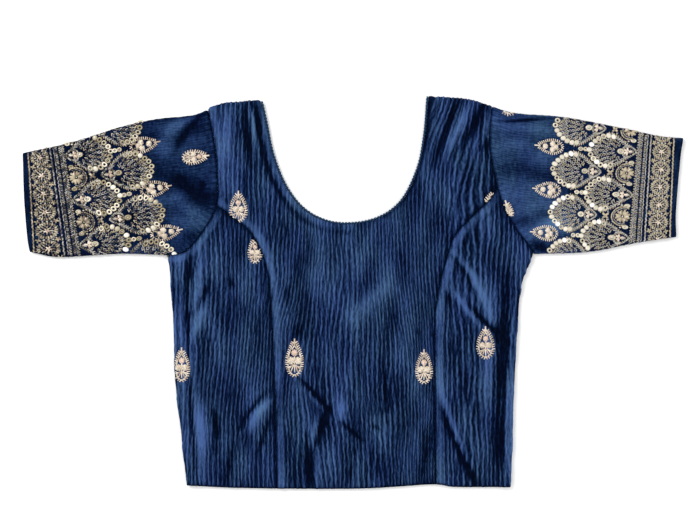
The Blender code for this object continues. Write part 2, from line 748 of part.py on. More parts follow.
def back_edging(name):
    """The neck edging of the back, from one shoulder seam to the other."""
    piece = CentrePiece()
    curve = beside(spline(NECK), -EDGING_WIDTH / 2)
    left_top, right_top = edging_ends(piece, curve) - SHOULDER_TURN - SEAM_BEHIND - SEAM_GAP
    lowest = int(np.argmin(curve[:, 1]))
    left = between(curve[:lowest + 1], curve[lowest, 1], left_top)[::-1]
    right = between(curve[lowest:], curve[lowest, 1], right_top)[1:]
    flat = spaced(np.vstack([left, right]), EDGING_STEP)
    path = np.column_stack([flat, np.full(len(flat), BACK_REST)])
    return tube(name, path, np.tile((0.0, 0.0, 1.0), (len(path), 1)))


def main():
    for existing in list(bpy.data.objects):
        bpy.data.objects.remove(existing, do_unlink=True)
    back_panel("back")
    centre_front("front_centre")
    side_front("front_side_left", LEFT)
    side_front("front_side_right", RIGHT)
    sleeve("sleeve_left", LEFT)
    sleeve("sleeve_right", RIGHT)
    back_edging("neck_edge_back")
    front_edging("neck_edge_front")


main()
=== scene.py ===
"""Choli blouse in navy crinkle cloth, laid flat: its cloth, embroidery, neck edging, light and camera.

X runs to the right across the blouse, Y from the hem to the neck, and Z up from the surface it lies on.
Left and right are as seen from above. Sizes are in millimetres until a mesh is made.
"""

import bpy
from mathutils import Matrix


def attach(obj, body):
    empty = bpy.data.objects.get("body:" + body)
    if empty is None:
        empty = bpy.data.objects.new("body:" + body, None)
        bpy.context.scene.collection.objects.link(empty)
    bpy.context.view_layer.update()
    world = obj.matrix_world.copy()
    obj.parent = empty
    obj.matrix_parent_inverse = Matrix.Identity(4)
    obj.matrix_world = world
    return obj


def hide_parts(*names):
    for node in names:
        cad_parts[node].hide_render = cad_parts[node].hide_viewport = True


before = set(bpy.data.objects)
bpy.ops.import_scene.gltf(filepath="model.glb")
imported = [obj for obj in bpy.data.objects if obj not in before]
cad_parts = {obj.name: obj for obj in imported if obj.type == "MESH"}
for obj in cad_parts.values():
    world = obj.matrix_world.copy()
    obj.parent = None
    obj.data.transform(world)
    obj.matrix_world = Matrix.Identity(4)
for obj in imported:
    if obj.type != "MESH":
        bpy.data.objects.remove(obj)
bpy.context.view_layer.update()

import math
from collections import namedtuple

import bpy
import numpy as np
from mathutils import Vector
from mathutils.bvhtree import BVHTree
from mathutils.geometry import delaunay_2d_cdt

MM = 0.001

# Thickness and laying of the cloth
WALL = 0.9
SEAM_GAP = 0.3
FRONT_REST = 3.4
BACK_REST = 0.95
LOWEST_FRONT = 2.2
THINNEST = 0.45

# Folds at the sides, shoulders and sleeves
SIDE_TURN = 2.2
SHOULDER_TURN = 1.6
SLEEVE_TURN = 1.7
TURN_REACH = 16.0
SEAM_BEHIND = 10.0

# Spacing of the points of a panel
FINE_ACROSS = 0.8
FINE_ALONG = 2.3
FINE_ROUND = 0.8
ROUND_FROM = 174.0
OUTLINE_STEP = 1.6
EDGE_MARGIN = 0.55
INNER_STEP = 9.0

# Crinkle
RIB_HEIGHT = 0.6
RIPPLE_HEIGHT = 0.2
RIPPLE_FADE = 2.6
NECK_BAND = 7.0

# Sleeve rings
FRONT_COLUMNS = 230
BACK_COLUMNS = 110
TURN_COLUMNS = 7
SLEEVE_STATIONS = 80
INNER_STATIONS = 14
NEARBY = 0.01
SLEEVE_LENGTH = 185.0

# Stitches: how far their ends stray, how much they lean with the cloth, and how far they sit on it
HAND_SLIP = 0.15
CLOTH_LEAN = 0.3
STITCH_RISE = 0.12

# Heights over and under the whole blouse, from which a place on the cloth is looked for
ABOVE_ALL = 40.0
BELOW_ALL = -20.0

# The border's reach round a sleeve, and the pitch of its round flowers
BORDER_LOW = -150.0
BORDER_HIGH = 115.0
ROSETTE_PITCH = 18.4

# Neck edging
EDGING_WIDTH = 1.5
EDGING_HEIGHT = 1.0
EDGING_STEP = 1.6
PICOT_PITCH = 3.3

# Points on a curve that is followed closely, and rounds to find where two curves meet
CURVE_POINTS = 60
CORNER_ROUNDS = 6

# Camera: the photograph is 700 by 525, and 1 pixel of it is 1 mm of the blouse
FRAME_WIDTH = 700.0
CAMERA_X = -3.0
CAMERA_Y = 30.0
CAMERA_HEIGHT = 1200.0
SENSOR = 36.0

# Floor and light, in metres: a lamp has a name, a place, a size and a power
FLOOR_HALF = 3.0
FLOOR_HEIGHT = -0.0002
ROOM_LIGHT = 0.86
LAMPS = (("key", (-0.9, 0.8, 1.1), 0.9, 18.0), ("fill", (1.1, -0.5, 1.3), 1.2, 6.0))

# Outline of the blouse: x, y
NECK = ((-91, 192), (-86, 171.5), (-79, 138.5), (-66, 106.5), (-46, 82.5), (-17, 70.5),
        (19, 73.5), (46, 90.5), (63, 122.5), (70, 154.5), (74, 196.5))
HEM = ((-170, -192.5), (-113, -195.5), (4, -196.2), (79, -192), (103, -194.5), (165, -194.5))
TOP_LEFT = ((-152, 180), (-131, 189.5), (-113, 191), (-99, 192.5), (-88, 191))
TOP_RIGHT = ((71, 196.5), (103, 195), (118, 193), (130, 189.5), (146, 184))

Side = namedtuple("Side", "sign edge armhole princess sleeve_top sleeve_bottom cuff")

LEFT = Side(
    sign=-1,
    edge=((-185.5, 42), (-184.5, 30), (-182.5, 8), (-180, -27.5), (-178, -87.5), (-173, -132.5),
          (-166, -200)),
    armhole=((-145, 182.5), (-139, 152.5), (-135.6, 118), (-136.5, 86), (-151, 60), (-167, 41.5),
             (-185, 37)),
    princess=((-136.5, 87), (-122, 76.5), (-101, 58.5), (-86, 23.5), (-81, -30), (-77, -137.5),
              (-76, -200)),
    sleeve_top=((-145, 182.5), (-163, 177), (-197, 173.5), (-233, 165.5), (-281, 150.5),
                (-330, 139.5)),
    sleeve_bottom=((-185, 37), (-233, 38.5), (-293, 35.5), (-323, 40.5)),
    cuff=((-330, 139.5), (-329, 97.5), (-326, 58.5), (-323, 40.5)),
)
RIGHT = Side(
    sign=1,
    edge=((182, 44), (176, 28), (169, 8), (165, -27.5), (162, -87.5), (160, -120), (158, -200)),
    armhole=((139, 186), (137, 150), (142, 118), (150, 88), (161.6, 66.5), (172.4, 51.5),
             (181.5, 38.5)),
    princess=((144, 106), (135, 91.5), (105, 61), (95, 38.5), (84, -8), (82, -50), (83, -200)),
    sleeve_top=((139, 186), (163, 179.5), (211, 175.5), (259, 166.5), (307, 156.5), (330, 154.5)),
    sleeve_bottom=((181.5, 38.5), (235, 40.5), (283, 49.5), (323, 55.5)),
    cuff=((330, 154.5), (327, 130.5), (323, 82.5), (323, 55.5)),
)

# Folds of the laid cloth: a crest has a height above zero and a trough has one below
Fold = namedtuple("Fold", "x1 y1 x2 y2 bend width height")
FOLDS = (
    Fold(-166, 38, -156, -192, 3, 2.6, -1.4),
    Fold(-173, 30, -163, -190, 2, 4, 1.0),
    Fold(-161, 48, -166, 4, 0, 2.5, -1.0),
    Fold(-143, 12, -159, -24, 0, 3, -1.3),
    Fold(-152, 54, -161, -40, -2, 4.5, 2.0),
    Fold(-147, -10, -163, -52, 0, 4.5, 1.8),
    Fold(-161, -50, -152, -150, 2, 5.5, 1.3),
    Fold(-139, -118, -135, -146, 0, 2.6, -1.4),
    Fold(-50, 25, 50, 25, 0, 36, 0.45),
    Fold(-121, 14, -123, 4, 0, 4, -0.9),
    Fold(-85, -98, -115, -139, 2, 2.8, -1.3),
    Fold(-81, -106, -104, -140, 3, 4, 2.6),
    Fold(-80, -121, -97, -170, 2, 3, -1.3),
    Fold(-151, -110, -150, -186, 1, 5, 1.8),
    Fold(-137, -120, -137, -162, 0, 3, -1.2),
    Fold(-120, -150, -126, -192, 0, 3, -1.0),
    Fold(-64, 8, -66, -14, 0, 3, -1.0),
    Fold(-54, -32, -56, -46, 0, 4, -1.1),
    Fold(-54, -85, -21, -120, 0, 2, -2.2),
    Fold(-46, -98, -31, -118, 0, 3, 1.2),
    Fold(-23, -115, -37, -152, 1, 2.8, -2.2),
    Fold(-34, -122, -42, -158, 1, 3, 1.5),
    Fold(-46, -138, -42, -198, 0, 3.2, -1.8),
    Fold(-35, -156, -36, -200, 0, 3.2, 1.5),
    Fold(-11, -106, -11, -128, 0, 6, 1.6),
    Fold(-13, -129, 10, -148, 0, 1.9, -2),
    Fold(-1, -172, -4, -192, 0, 2, -1.0),
    Fold(18, -132, 29, -138, 0, 2, -0.9),
    Fold(29, -68, 36, -117, 0, 2.6, -1.3),
    Fold(37, 10, -3, -32, 2, 9, 1.4),
    Fold(72, -138, 71, -192, 0, 5.5, -1.3),
    Fold(101, 40, 138, -26, -4, 4, 2.8),
    Fold(98, 38, 124, -4, -3, 3, -1.8),
    Fold(97, 6, 128, -35, 0, 3.2, 2.4),
    Fold(93, 2, 97, -15, 0, 2.4, -1.1),
    Fold(144, -34, 144, -50, 0, 3, -1.2),
    Fold(154, 20, 146, -100, -2, 6, -1.5),
    Fold(149, -60, 145, -192, 0, 6, -1.5),
    Fold(112, -10, 160, -54, 1, 2.8, -2.3),
    Fold(160, 14, 155, -190, 0, 4, 1.6),
    Fold(138, 0, 134, -150, 2, 5, 1.4),
    Fold(87, -112, 124, -194, 1, 3.4, -2.2),
    Fold(88, -94, 116, -172, 2, 3, 2.4),
    Fold(114, -172, 121, -191, 0, 2.6, -1.1),
    Fold(107, 196, 80, 126, 1, 3.3, -1.9),
    Fold(118, 190, 92, 132, 1, 4, 2.4),
    Fold(132, 188, 111, 146, 1, 3.6, -1.9),
    Fold(138, 185, 131, 150, 0, 3.4, 1.8),
    Fold(133, 154, 132, 140, 0, 2.4, -1.2),
    Fold(-124, 189, -124, 130, 2, 6, 1.8),
    Fold(-108, 191, -104, 128, 0, 3.2, -1.8),
    Fold(-101, 190, -96, 136, 0, 2.6, 1.6),
    Fold(-96, 192, -89, 142, 1, 2.2, -1.7),
    Fold(-148, 181, -180, 138, 3, 4, -1.4),
    Fold(-160, 178, -196, 144, 2, 7, 2.0),
    Fold(-177, 116, -146, 95, 3, 4.5, -1.5),
    Fold(-182, 100, -152, 80, 2, 7, 1.6),
    Fold(-150, 112, -152, 100, 0, 4, -1.0),
    Fold(144, 171, 198, 175, 1, 1.8, -1.5),
    Fold(150, 164, 200, 166, 1, 5, 1.2),
    Fold(178, 52, 194, 41, 0, 5, -1.2),
    Fold(170, 62, 226, 84, 3, 7, 1.6),
)

# Places where the crinkle leans: the slope is how far its ribs move to the right on their way up
Lean = namedtuple("Lean", "x y width reach slope")
LEANS = (
    Lean(-62, -15, 32, 40, 0.22),
    Lean(55, -15, 30, 45, -0.14),
    Lean(-125, -80, 36, 60, 0.12),
    Lean(146, 18, 26, 42, 0.1),
    Lean(92, 165, 32, 42, 0.36),
    Lean(-30, -150, 30, 40, -0.1),
)

# Guide lines of each sleeve's border: distance from the cuff's chain line, and two places on a row
Guide = namedtuple("Guide", "reach top_x top_y low_x low_y")
LEFT_GUIDES = (
    Guide(-8, -332, 132, -326, 42),
    Guide(0, -324, 132.5, -319, 42.5),
    Guide(22.5, -301.5, 134.5, -289, 43),
    Guide(37, -287, 136.5, -273, 47.5),
    Guide(85, -239, 141.5, -220, 52.5),
    Guide(115, -210, 147.5, -187, 57.5),
    Guide(145, -181, 153.5, -158, 63.5),
)
RIGHT_GUIDES = (
    Guide(-8, 328, 138, 324, 52),
    Guide(0, 320, 138.5, 316.5, 52.5),
    Guide(22.5, 297, 139.5, 291.5, 52.5),
    Guide(37, 283, 140.5, 275, 53.5),
    Guide(61, 257, 141.5, 247, 55.5),
    Guide(119, 201, 145.5, 196, 58.5),
    Guide(145, 176, 148, 171, 60.5),
)
LEFT_PITCH = 45.3
RIGHT_PITCH = 43.3

# Teardrop motifs: the panel that each is worked on, its middle, size and the way it points
Butta = namedtuple("Butta", "panel x y width length lean")
BUTTAS = (
    Butta("front_centre", -114.5, 85.5, 19, 31, 0),
    Butta("front_side_left", -98, 42, 15.5, 26, 0),
    Butta("front_centre", -58.5, -65.5, 19, 38, 0),
    Butta("front_side_left", -171, -72.5, 17, 34, 0),
    Butta("front_centre", 71, -74.5, 18, 34, 0),
    Butta("front_side_right", 132.5, -50.5, 19, 32, 0),
    Butta("front_centre", 139.5, 94, 13, 25, -36),
    Butta("sleeve_right", 155.5, 83, 9, 18, 20),
    Butta("sleeve_right", 160, 185.5, 17, 26, -78),
    Butta("sleeve_left", -157.5, 135.5, 16, 27, -84),
)
BACK_BUTTAS = (
    Butta("back", -110, 60, 19, 34, 0),
    Butta("back", -40, 10, 19, 34, 0),
    Butta("back", 38, 12, 19, 34, 0),
    Butta("back", 108, 62, 19, 34, 0),
    Butta("back", -118, -90, 19, 34, 0),
    Butta("back", 0, -110, 19, 34, 0),
    Butta("back", 112, -92, 19, 34, 0),
)


class Waves:
    """Waves that wander and fork; the pitch is across their crests and the run is along them."""

    def __init__(self, pitch, run, spread, seed, count=40):
        draw = np.random.default_rng(seed)
        self.across = 2 * math.pi / pitch * (1 + spread * draw.standard_normal(count))
        self.along = 2 * math.pi / run * draw.standard_normal(count)
        self.phase = draw.uniform(0, 2 * math.pi, count)

    def total(self, x, y):
        total = np.zeros(np.broadcast(x, y).shape, complex)
        for across, along_run, phase in zip(self.across, self.along, self.phase):
            total += np.exp(1j * (across * x + along_run * y + phase))
        return total / math.sqrt(len(self.phase) / 2)

    def swell(self, x, y):
        """Soft uneven rises and falls, mostly between -1 and 1."""
        return self.total(x, y).real

    def crests(self, x, y):
        """Rows of crests and troughs between -1 and 1, which fade only where two of them fork."""
        total = self.total(x, y)
        size = np.abs(total)
        return total.real / np.maximum(size, 1e-6) * np.tanh(2 * size)


WIGGLE = Waves(pitch=13, run=11, spread=0.5, seed=17)
RIBS = Waves(pitch=4.3, run=95, spread=0.13, seed=11)
FINE_RIBS = Waves(pitch=2.6, run=20, spread=0.2, seed=12)
SWAY = Waves(pitch=90, run=110, spread=0.5, seed=13)
BROAD = Waves(pitch=42, run=80, spread=0.5, seed=14)
SLEEVE_RIPPLES = Waves(pitch=2.6, run=30, spread=0.22, seed=16)


def outward(curve, sign):
    """The curve with its distance from the middle counted as plus."""
    return curve * (sign, 1)


def spline(points, steps=12):
    """A smooth curve through the points, as rows of x and y."""
    knots = np.array(points, float)
    before = 2 * knots[0] - knots[1]
    after = 2 * knots[-1] - knots[-2]
    knots = np.vstack([before, knots, after])
    share = np.linspace(0, 1, steps, endpoint=False)[:, None]
    rows = []
    for p0, p1, p2, p3 in zip(knots, knots[1:], knots[2:], knots[3:]):
        slope_in = (p2 - p0) / 2
        slope_out = (p3 - p1) / 2
        rise = share * share * (3 - 2 * share)
        rows.append(p1 + (p2 - p1) * rise + slope_in * share * (1 - share) ** 2
                    - slope_out * share**2 * (1 - share))
    return np.vstack(rows + [knots[-2:-1]])


def along(curve):
    """The distance of each point of the curve from its start."""
    return np.concatenate([[0], np.cumsum(np.hypot(*np.diff(curve, axis=0).T))])


def spaced(curve, step):
    """The curve again, with points about one step apart."""
    run = along(curve)
    count = max(int(round(run[-1] / step)), 1) + 1
    at = np.linspace(0, run[-1], count)
    return np.column_stack([np.interp(at, run, curve[:, k]) for k in (0, 1)])


def beside(curve, distance):
    """The curve moved to its left by a distance."""
    way = np.gradient(curve, axis=0)
    way /= np.hypot(way[:, 0], way[:, 1])[:, None]
    return curve + distance * np.column_stack([-way[:, 1], way[:, 0]])


def x_at(curve, y):
    order = np.argsort(curve[:, 1])
    return np.interp(y, curve[order, 1], curve[order, 0])


def y_at(curve, x):
    order = np.argsort(curve[:, 0])
    return np.interp(x, curve[order, 0], curve[order, 1])


def near_curve(points, curve):
    """For each point: its distance from the curve, the nearest place on it, and how far along that is."""
    run = along(curve)
    gaps = np.full(len(points), np.inf)
    places = np.zeros((len(points), 2))
    reach = np.zeros(len(points))
    for number, (start, end) in enumerate(zip(curve, curve[1:])):
        way = end - start
        share = np.clip((points - start) @ way / (way @ way), 0, 1)
        here = start + share[:, None] * way
        gap = np.hypot(*(points - here).T)
        closer = gap < gaps
        gaps[closer] = gap[closer]
        places[closer] = here[closer]
        reach[closer] = run[number] + share[closer] * (run[number + 1] - run[number])
    return gaps, places, reach


def fold_lift(x, y):
    """How far the folds lift or sink the cloth at a place."""
    lift = np.zeros(np.broadcast(x, y).shape)
    for fold in FOLDS:
        way_x, way_y = fold.x2 - fold.x1, fold.y2 - fold.y1
        length = math.hypot(way_x, way_y)
        share = ((x - fold.x1) * way_x + (y - fold.y1) * way_y) / length**2
        across = ((x - fold.x1) * way_y - (y - fold.y1) * way_x) / length
        across = across - fold.bend * 4 * share * (1 - share)
        fade = np.sin(math.pi * np.clip((share + 0.1) / 1.2, 0, 1))
        lift = lift + fold.height * fade * np.exp(-((across / fold.width) ** 2))
    return lift


def lean_shift(x, y):
    """How far the crinkle is shifted across, so that its ribs lean where the cloth pulls."""
    shift = np.zeros(np.broadcast(x, y).shape)
    for lean in LEANS:
        drop = lean.reach * np.tanh((y - lean.y) / lean.reach)
        shift = shift - lean.slope * drop * np.exp(-(((x - lean.x) / lean.width) ** 2))
    return shift


def over_run(out, edge, turn):
    """How far along the cloth a place on its upper layer is, for a fold whose outer line is at edge."""
    start = edge - turn
    return np.where(out < start, out, start + turn * np.arcsin(np.clip((out - start) / turn, 0, 1)))


def under_run(out, edge, turn):
    """The same for a place on the layer that has turned under."""
    start = edge - turn
    bend = np.arcsin(np.clip((out - start) / turn, 0, 1))
    return start + turn * (math.pi - bend) + np.maximum(start - out, 0)


def turned(run, edge, turn):
    """How far out a place along the cloth lies, and the share of the half turn it has made."""
    start = edge - turn
    angle = np.clip((run - start) / turn, 0, math.pi)
    past = np.maximum(run - start - math.pi * turn, 0)
    out = np.where(run < start, run, start + turn * np.sin(angle) - past)
    return out, angle / math.pi


def eased(share):
    """A share from 0 to 1 that starts and ends gently."""
    share = np.clip(share, 0, 1)
    return share * share * (3 - 2 * share)


def layer_height(x, y, run, edge, turn, folds):
    """Height of the middle of the wall over the surface, on the flat and round the turn."""
    start = edge - turn
    near = eased(1 - (start - run) / TURN_REACH)
    flat = np.maximum(FRONT_REST + folds * fold_lift(x, y) * (1 - near), LOWEST_FRONT)
    top = BACK_REST + 2 * turn
    angle = np.clip((run - start) / turn, 0, math.pi)
    bent = BACK_REST + turn * (1 + np.cos(angle))
    return np.where(run < start, flat + (top - flat) * near, bent)


class SidePiece:
    """A side front: flat from the princess seam, round the side fold and a little way under."""

    def __init__(self, side):
        self.sign = side.sign
        self.edge = outward(spline(side.edge), side.sign)

    def edge_at(self, y):
        return x_at(self.edge, y) - WALL / 2

    def place(self, x, y, folds=1.0):
        edge = self.edge_at(y)
        run = self.sign * x
        out, share = turned(run, edge, SIDE_TURN)
        z = layer_height(self.sign * out, y, run, edge, SIDE_TURN, folds)
        return np.column_stack([self.sign * out, y, z]), share

    def over(self, points):
        run = over_run(points[:, 0], self.edge_at(points[:, 1]), SIDE_TURN)
        return np.column_stack([run, points[:, 1]])

    def under(self, points):
        run = under_run(points[:, 0], self.edge_at(points[:, 1]), SIDE_TURN)
        return np.column_stack([run, points[:, 1]])


class CentrePiece:
    """The middle front: flat from the hem to the shoulders, over them and a little way under."""

    def __init__(self):
        self.left = spline(TOP_LEFT)
        self.right = spline(TOP_RIGHT)

    def edge_at(self, x):
        return np.where(x < 0, y_at(self.left, x), y_at(self.right, x)) - WALL / 2

    def place(self, x, y, folds=1.0):
        edge = self.edge_at(x)
        out, share = turned(y, edge, SHOULDER_TURN)
        z = layer_height(x, out, y, edge, SHOULDER_TURN, folds)
        return np.column_stack([x, out, z]), share

    def over(self, points):
        run = over_run(points[:, 1], self.edge_at(points[:, 0]), SHOULDER_TURN)
        return np.column_stack([points[:, 0], run])

    def under(self, points):
        run = under_run(points[:, 1], self.edge_at(points[:, 0]), SHOULDER_TURN)
        return np.column_stack([points[:, 0], run])


def inside(points, outline, margin):
    """Which points lie within the outline by at least the margin."""
    ends = np.roll(outline, -1, axis=0)
    crossings = np.zeros(len(points), int)
    for (x1, y1), (x2, y2) in zip(outline, ends):
        if y1 != y2:
            level = (y1 > points[:, 1]) != (y2 > points[:, 1])
            reach = x1 + (points[:, 1] - y1) * (x2 - x1) / (y2 - y1)
            crossings += level & (points[:, 0] < reach)
    within = np.flatnonzero(crossings % 2 == 1)
    gaps, _, _ = near_curve(points[within], np.vstack([outline, outline[:1]]))
    kept = np.zeros(len(points), bool)
    kept[within[gaps > margin]] = True
    return kept


def triangles(points, outline_count):
    """Triangles over the points inside the outline, which comes first among them and turns left."""
    flat = [Vector((float(x), float(y))) for x, y in points]
    made = delaunay_2d_cdt(flat, [], [list(range(outline_count))], 1, 1e-5)
    first = [origin[0] for origin in made[3]]
    faces = []
    for face in made[2]:
        a, b, c = (first[corner] for corner in face)
        (bx, by), (cx, cy) = points[b] - points[a], points[c] - points[a]
        faces.append((a, b, c) if bx * cy > by * cx else (a, c, b))
    return faces


def staggered(low, high, across, levels):
    """Points in rows at the levels, every second row moved half a step."""
    rows = []
    for row, y in enumerate(levels):
        x = np.arange(low, high, across) + across / 2 * (row % 2)
        rows.append(np.column_stack([x, np.full(len(x), y)]))
    return np.vstack(rows)


def fine_points(outline):
    """Points over a panel close enough for its crinkle, and closer still round the shoulder folds."""
    low, high = outline.min(axis=0), outline.max(axis=0)
    levels = np.concatenate([
        np.arange(low[1], min(high[1], ROUND_FROM), FINE_ALONG),
        np.arange(ROUND_FROM, high[1], FINE_ROUND),
    ])
    points = staggered(low[0], high[0], FINE_ACROSS, levels)
    return points[inside(points, outline, EDGE_MARGIN)]


def facing(piece, points, folds=1.0):
    """The outward direction of the laid wall at each point."""
    step = 0.05
    x, y = points[:, 0], points[:, 1]
    across = piece.place(x + step, y, folds)[0] - piece.place(x - step, y, folds)[0]
    upward = piece.place(x, y + step, folds)[0] - piece.place(x, y - step, folds)[0]
    normal = np.cross(across, upward)
    return normal / np.linalg.norm(normal, axis=1)[:, None]


def crinkle(points):
    """The crinkle of the body cloth, from -1 in its wide troughs to 1 on its narrow crests."""
    x, y = points.T
    sway = lean_shift(x, y) + 0.65 * SWAY.swell(x, y) + 0.15 * WIGGLE.swell(x, y)
    narrow = 2 * np.exp(1.2 * (RIBS.crests(x + sway, y) - 1)) - 1
    return np.clip(0.85 * narrow + 0.5 * FINE_RIBS.crests(x + sway, y), -1, 1)


def seam_shape(points, curve):
    """At a seam: its relief, how near each point is, its roll on the right, which carries a painted
    highlight, and the painted shade on its left.
    """
    gaps, places, run = near_curve(points, curve)
    dip = -0.8 * np.exp(-((gaps / 1.1) ** 2))
    pucker = 0.35 * np.sin(2 * math.pi * run / 5.2 + 1.3 * np.sin(run / 9)) * np.exp(-gaps / 5)
    roll = np.exp(-(((gaps - 4.6) / 3.6) ** 4))
    right_side = points[:, 0] > places[:, 0]
    relief = dip + pucker * (1 - np.exp(-gaps)) + np.where(right_side, 0.8, 0.1) * roll
    smooth = np.where(right_side, roll, 0)
    shade = np.where(right_side, 0, np.exp(-((gaps / 4.2) ** 2)))
    return relief, np.exp(-((gaps / 0.9) ** 2)), smooth, shade


def neck_calm(points):
    """The neck's turned band: how much it calms the crinkle, its roll, and its painted light and shade
    (lit band and shaded dip on the left, shaded edge on the right).
    """
    curve = spline(NECK)
    gaps, places, run = near_curve(points, curve)
    steep = np.abs(np.gradient(curve[:, 1], along(curve)))
    held = 0.25 + 0.75 * np.interp(run, along(curve), steep) ** 2
    roll = 0.7 * np.exp(-(((gaps - 4) / 3) ** 2)) - 0.7 * np.exp(-(((gaps - 9.5) / 2) ** 2))
    calm = held * np.exp(-((gaps / NECK_BAND) ** 6))
    lit = 0.2 * calm - 0.55 * held * np.exp(-(((gaps - 10.2) / 2.2) ** 2))
    shaded = -0.4 * held * np.exp(-((gaps / 4.5) ** 4))
    return calm, roll, np.where(points[:, 0] < 0, lit, shaded)


def butta_calm(points):
    """How much the stitches of the teardrop motifs flatten the crinkle."""
    calm = np.zeros(len(points))
    for butta in BUTTAS:
        lean = math.radians(butta.lean)
        aside = points - (butta.x, butta.y)
        forward = aside @ (-math.sin(lean), math.cos(lean))
        across = aside @ (math.cos(lean), math.sin(lean))
        reach = np.hypot(across / butta.width, forward / butta.length) * 2
        calm = np.maximum(calm, np.exp(-(reach**4)))
    return calm


def body_relief(points, seams):
    """Relief of a body panel's outer face, and how light its colour is, from trough to crest, as painted
    light and shade.
    """
    ribs = crinkle(points)
    calm, roll, neck_light = neck_calm(points)
    lift = np.clip(fold_lift(*points.T), -2.0, 2.0)
    ribs = ribs * (1 - 0.75 * calm) * (1 - 0.6 * butta_calm(points))
    ribs = ribs * (1 - 0.5 * np.clip(lift / 1.6, 0, 1))
    broad = BROAD.swell(*points.T)
    # The colour starts from the neck band's painted light and shade, and is lighter where the broad swell
    # rises: painted light.
    relief, crest = roll + 0.2 * broad, neck_light + 0.08 * broad
    # Each seam adds a painted highlight on its roll, painted shade beside it, and painted shade in its
    # groove.
    dark = np.ones(len(points))
    for curve in seams:
        shape, near, smooth, shade = seam_shape(points, curve)
        relief = relief + shape
        ribs = ribs * (1 - 0.6 * smooth)
        crest = crest + 0.22 * smooth - 0.26 * shade
        dark = dark * (1 - 0.6 * near)
    relief = relief + RIB_HEIGHT * ribs
    # Painted light and shade: lighter on the crests of the crinkle and the folds, darker in their
    # troughs.
    crest = (0.44 + 0.36 * ribs + np.where(lift < 0, 0.38, 0.22) * lift + crest) * dark
    hem_gap = points[:, 1] - y_at(spline(HEM), points[:, 0])
    relief = relief - 0.5 * np.exp(-((hem_gap / 1.5) ** 2))
    # Painted shade along the sunken edge of the hem.
    crest = crest * (1 - 0.8 * np.exp(-((hem_gap / 1.6) ** 2)))
    return np.clip(relief, -0.75, 1.9), np.clip(crest, 0, 1)


def lowest_near(places, points, heights, reach):
    """The lowest of the heights at the points within reach of each place."""
    return np.array([heights[np.hypot(*(points - place).T) < reach].min() for place in places])


def solid_mesh(name, points, faces):
    """A named object from points in millimetres."""
    mesh = bpy.data.meshes.new(name)
    mesh.from_pydata((np.asarray(points) * MM).tolist(), [], faces)
    mesh.update()
    mesh.shade_smooth()
    piece = bpy.data.objects.new(name, mesh)
    bpy.context.scene.collection.objects.link(piece)
    return piece


def keep_values(mesh, name, values):
    """Stores one number for each point of the mesh."""
    kept = mesh.attributes.new(name, "FLOAT", "POINT")
    kept.data.foreach_set("value", np.asarray(values, np.float32))


def walled(outer_count, edge_count, outer_faces, inner_faces):
    """The faces of a wall whose two sides share an outline: both sides, and the rim between them."""
    faces = list(outer_faces)
    faces += [(a + outer_count, c + outer_count, b + outer_count) for a, b, c in inner_faces]
    for here in range(edge_count):
        there = (here + 1) % edge_count
        faces.append((here, here + outer_count, there + outer_count))
        faces.append((here, there + outer_count, there))
    return faces


def inner_points(outline):
    """Points over the plain inner face, coarse on the flat and closer near every fold."""
    low, high = outline.min(axis=0), outline.max(axis=0)
    levels = np.arange(low[1], high[1], INNER_STEP)
    coarse = staggered(low[0], high[0], INNER_STEP, levels)
    return coarse[inside(coarse, outline, INNER_STEP / 4)]


def fold_rows(piece, outline):
    """Points of the inner face round the fold of a front piece, in lines along it."""
    low, high = outline.min(axis=0), outline.max(axis=0)
    shares = np.linspace(0, 1, 7)
    rows = []
    if isinstance(piece, SidePiece):
        levels = np.arange(low[1], high[1], INNER_STEP / 2)
        start = piece.edge_at(levels) - SIDE_TURN
        for share in shares:
            rows.append(np.column_stack([
                piece.sign * (start + math.pi * SIDE_TURN * share), levels]))
    else:
        across = np.arange(low[0], high[0], INNER_STEP / 2)
        start = piece.edge_at(across) - SHOULDER_TURN
        for share in shares:
            rows.append(np.column_stack([across, start + math.pi * SHOULDER_TURN * share]))
    points = np.vstack(rows)
    return points[inside(points, outline, EDGE_MARGIN)]


def front_panel(name, piece, outline, seams):
    """A front panel: a closed thin wall, crinkled outside and plain inside, round its fold."""
    edge_count = len(outline)
    outer = np.vstack([outline, fine_points(outline)])
    folded = fold_rows(piece, outline)
    coarse = inner_points(outline)
    clear = near_curve(coarse, folded)[0] > INNER_STEP / 3
    inner = np.vstack([outline, coarse[clear], folded])
    laid, share = piece.place(outer[:, 0], outer[:, 1])
    relief, crest = body_relief(laid[:, :2], seams)
    fade = np.clip(RIPPLE_FADE * (0.75 - share), 0, 1)
    reach = WALL / 2 + relief * fade
    outside = laid + facing(piece, outer) * reach[:, None]
    laid_inner, turned_share = piece.place(inner[:, 0], inner[:, 1])
    within = laid_inner - facing(piece, inner) * (WALL / 2)
    lowest = np.concatenate([
        lowest_near(inner[:edge_count], outer, outside[:, 2], OUTLINE_STEP),
        lowest_near(inner[edge_count:], outer, outside[:, 2], INNER_STEP),
    ])
    under = np.maximum(lowest - THINNEST, BACK_REST + WALL / 2 + 0.1)
    flat = turned_share == 0
    within[flat, 2] = np.minimum(within[flat, 2], under[flat])
    faces = walled(len(outer), edge_count, triangles(outer, edge_count),
                   triangles(inner, edge_count))
    panel = solid_mesh(name, np.vstack([outside, within]), faces)
    keep_values(panel.data, "crest", np.concatenate([crest, np.full(len(inner), 0.3)]))
    return panel


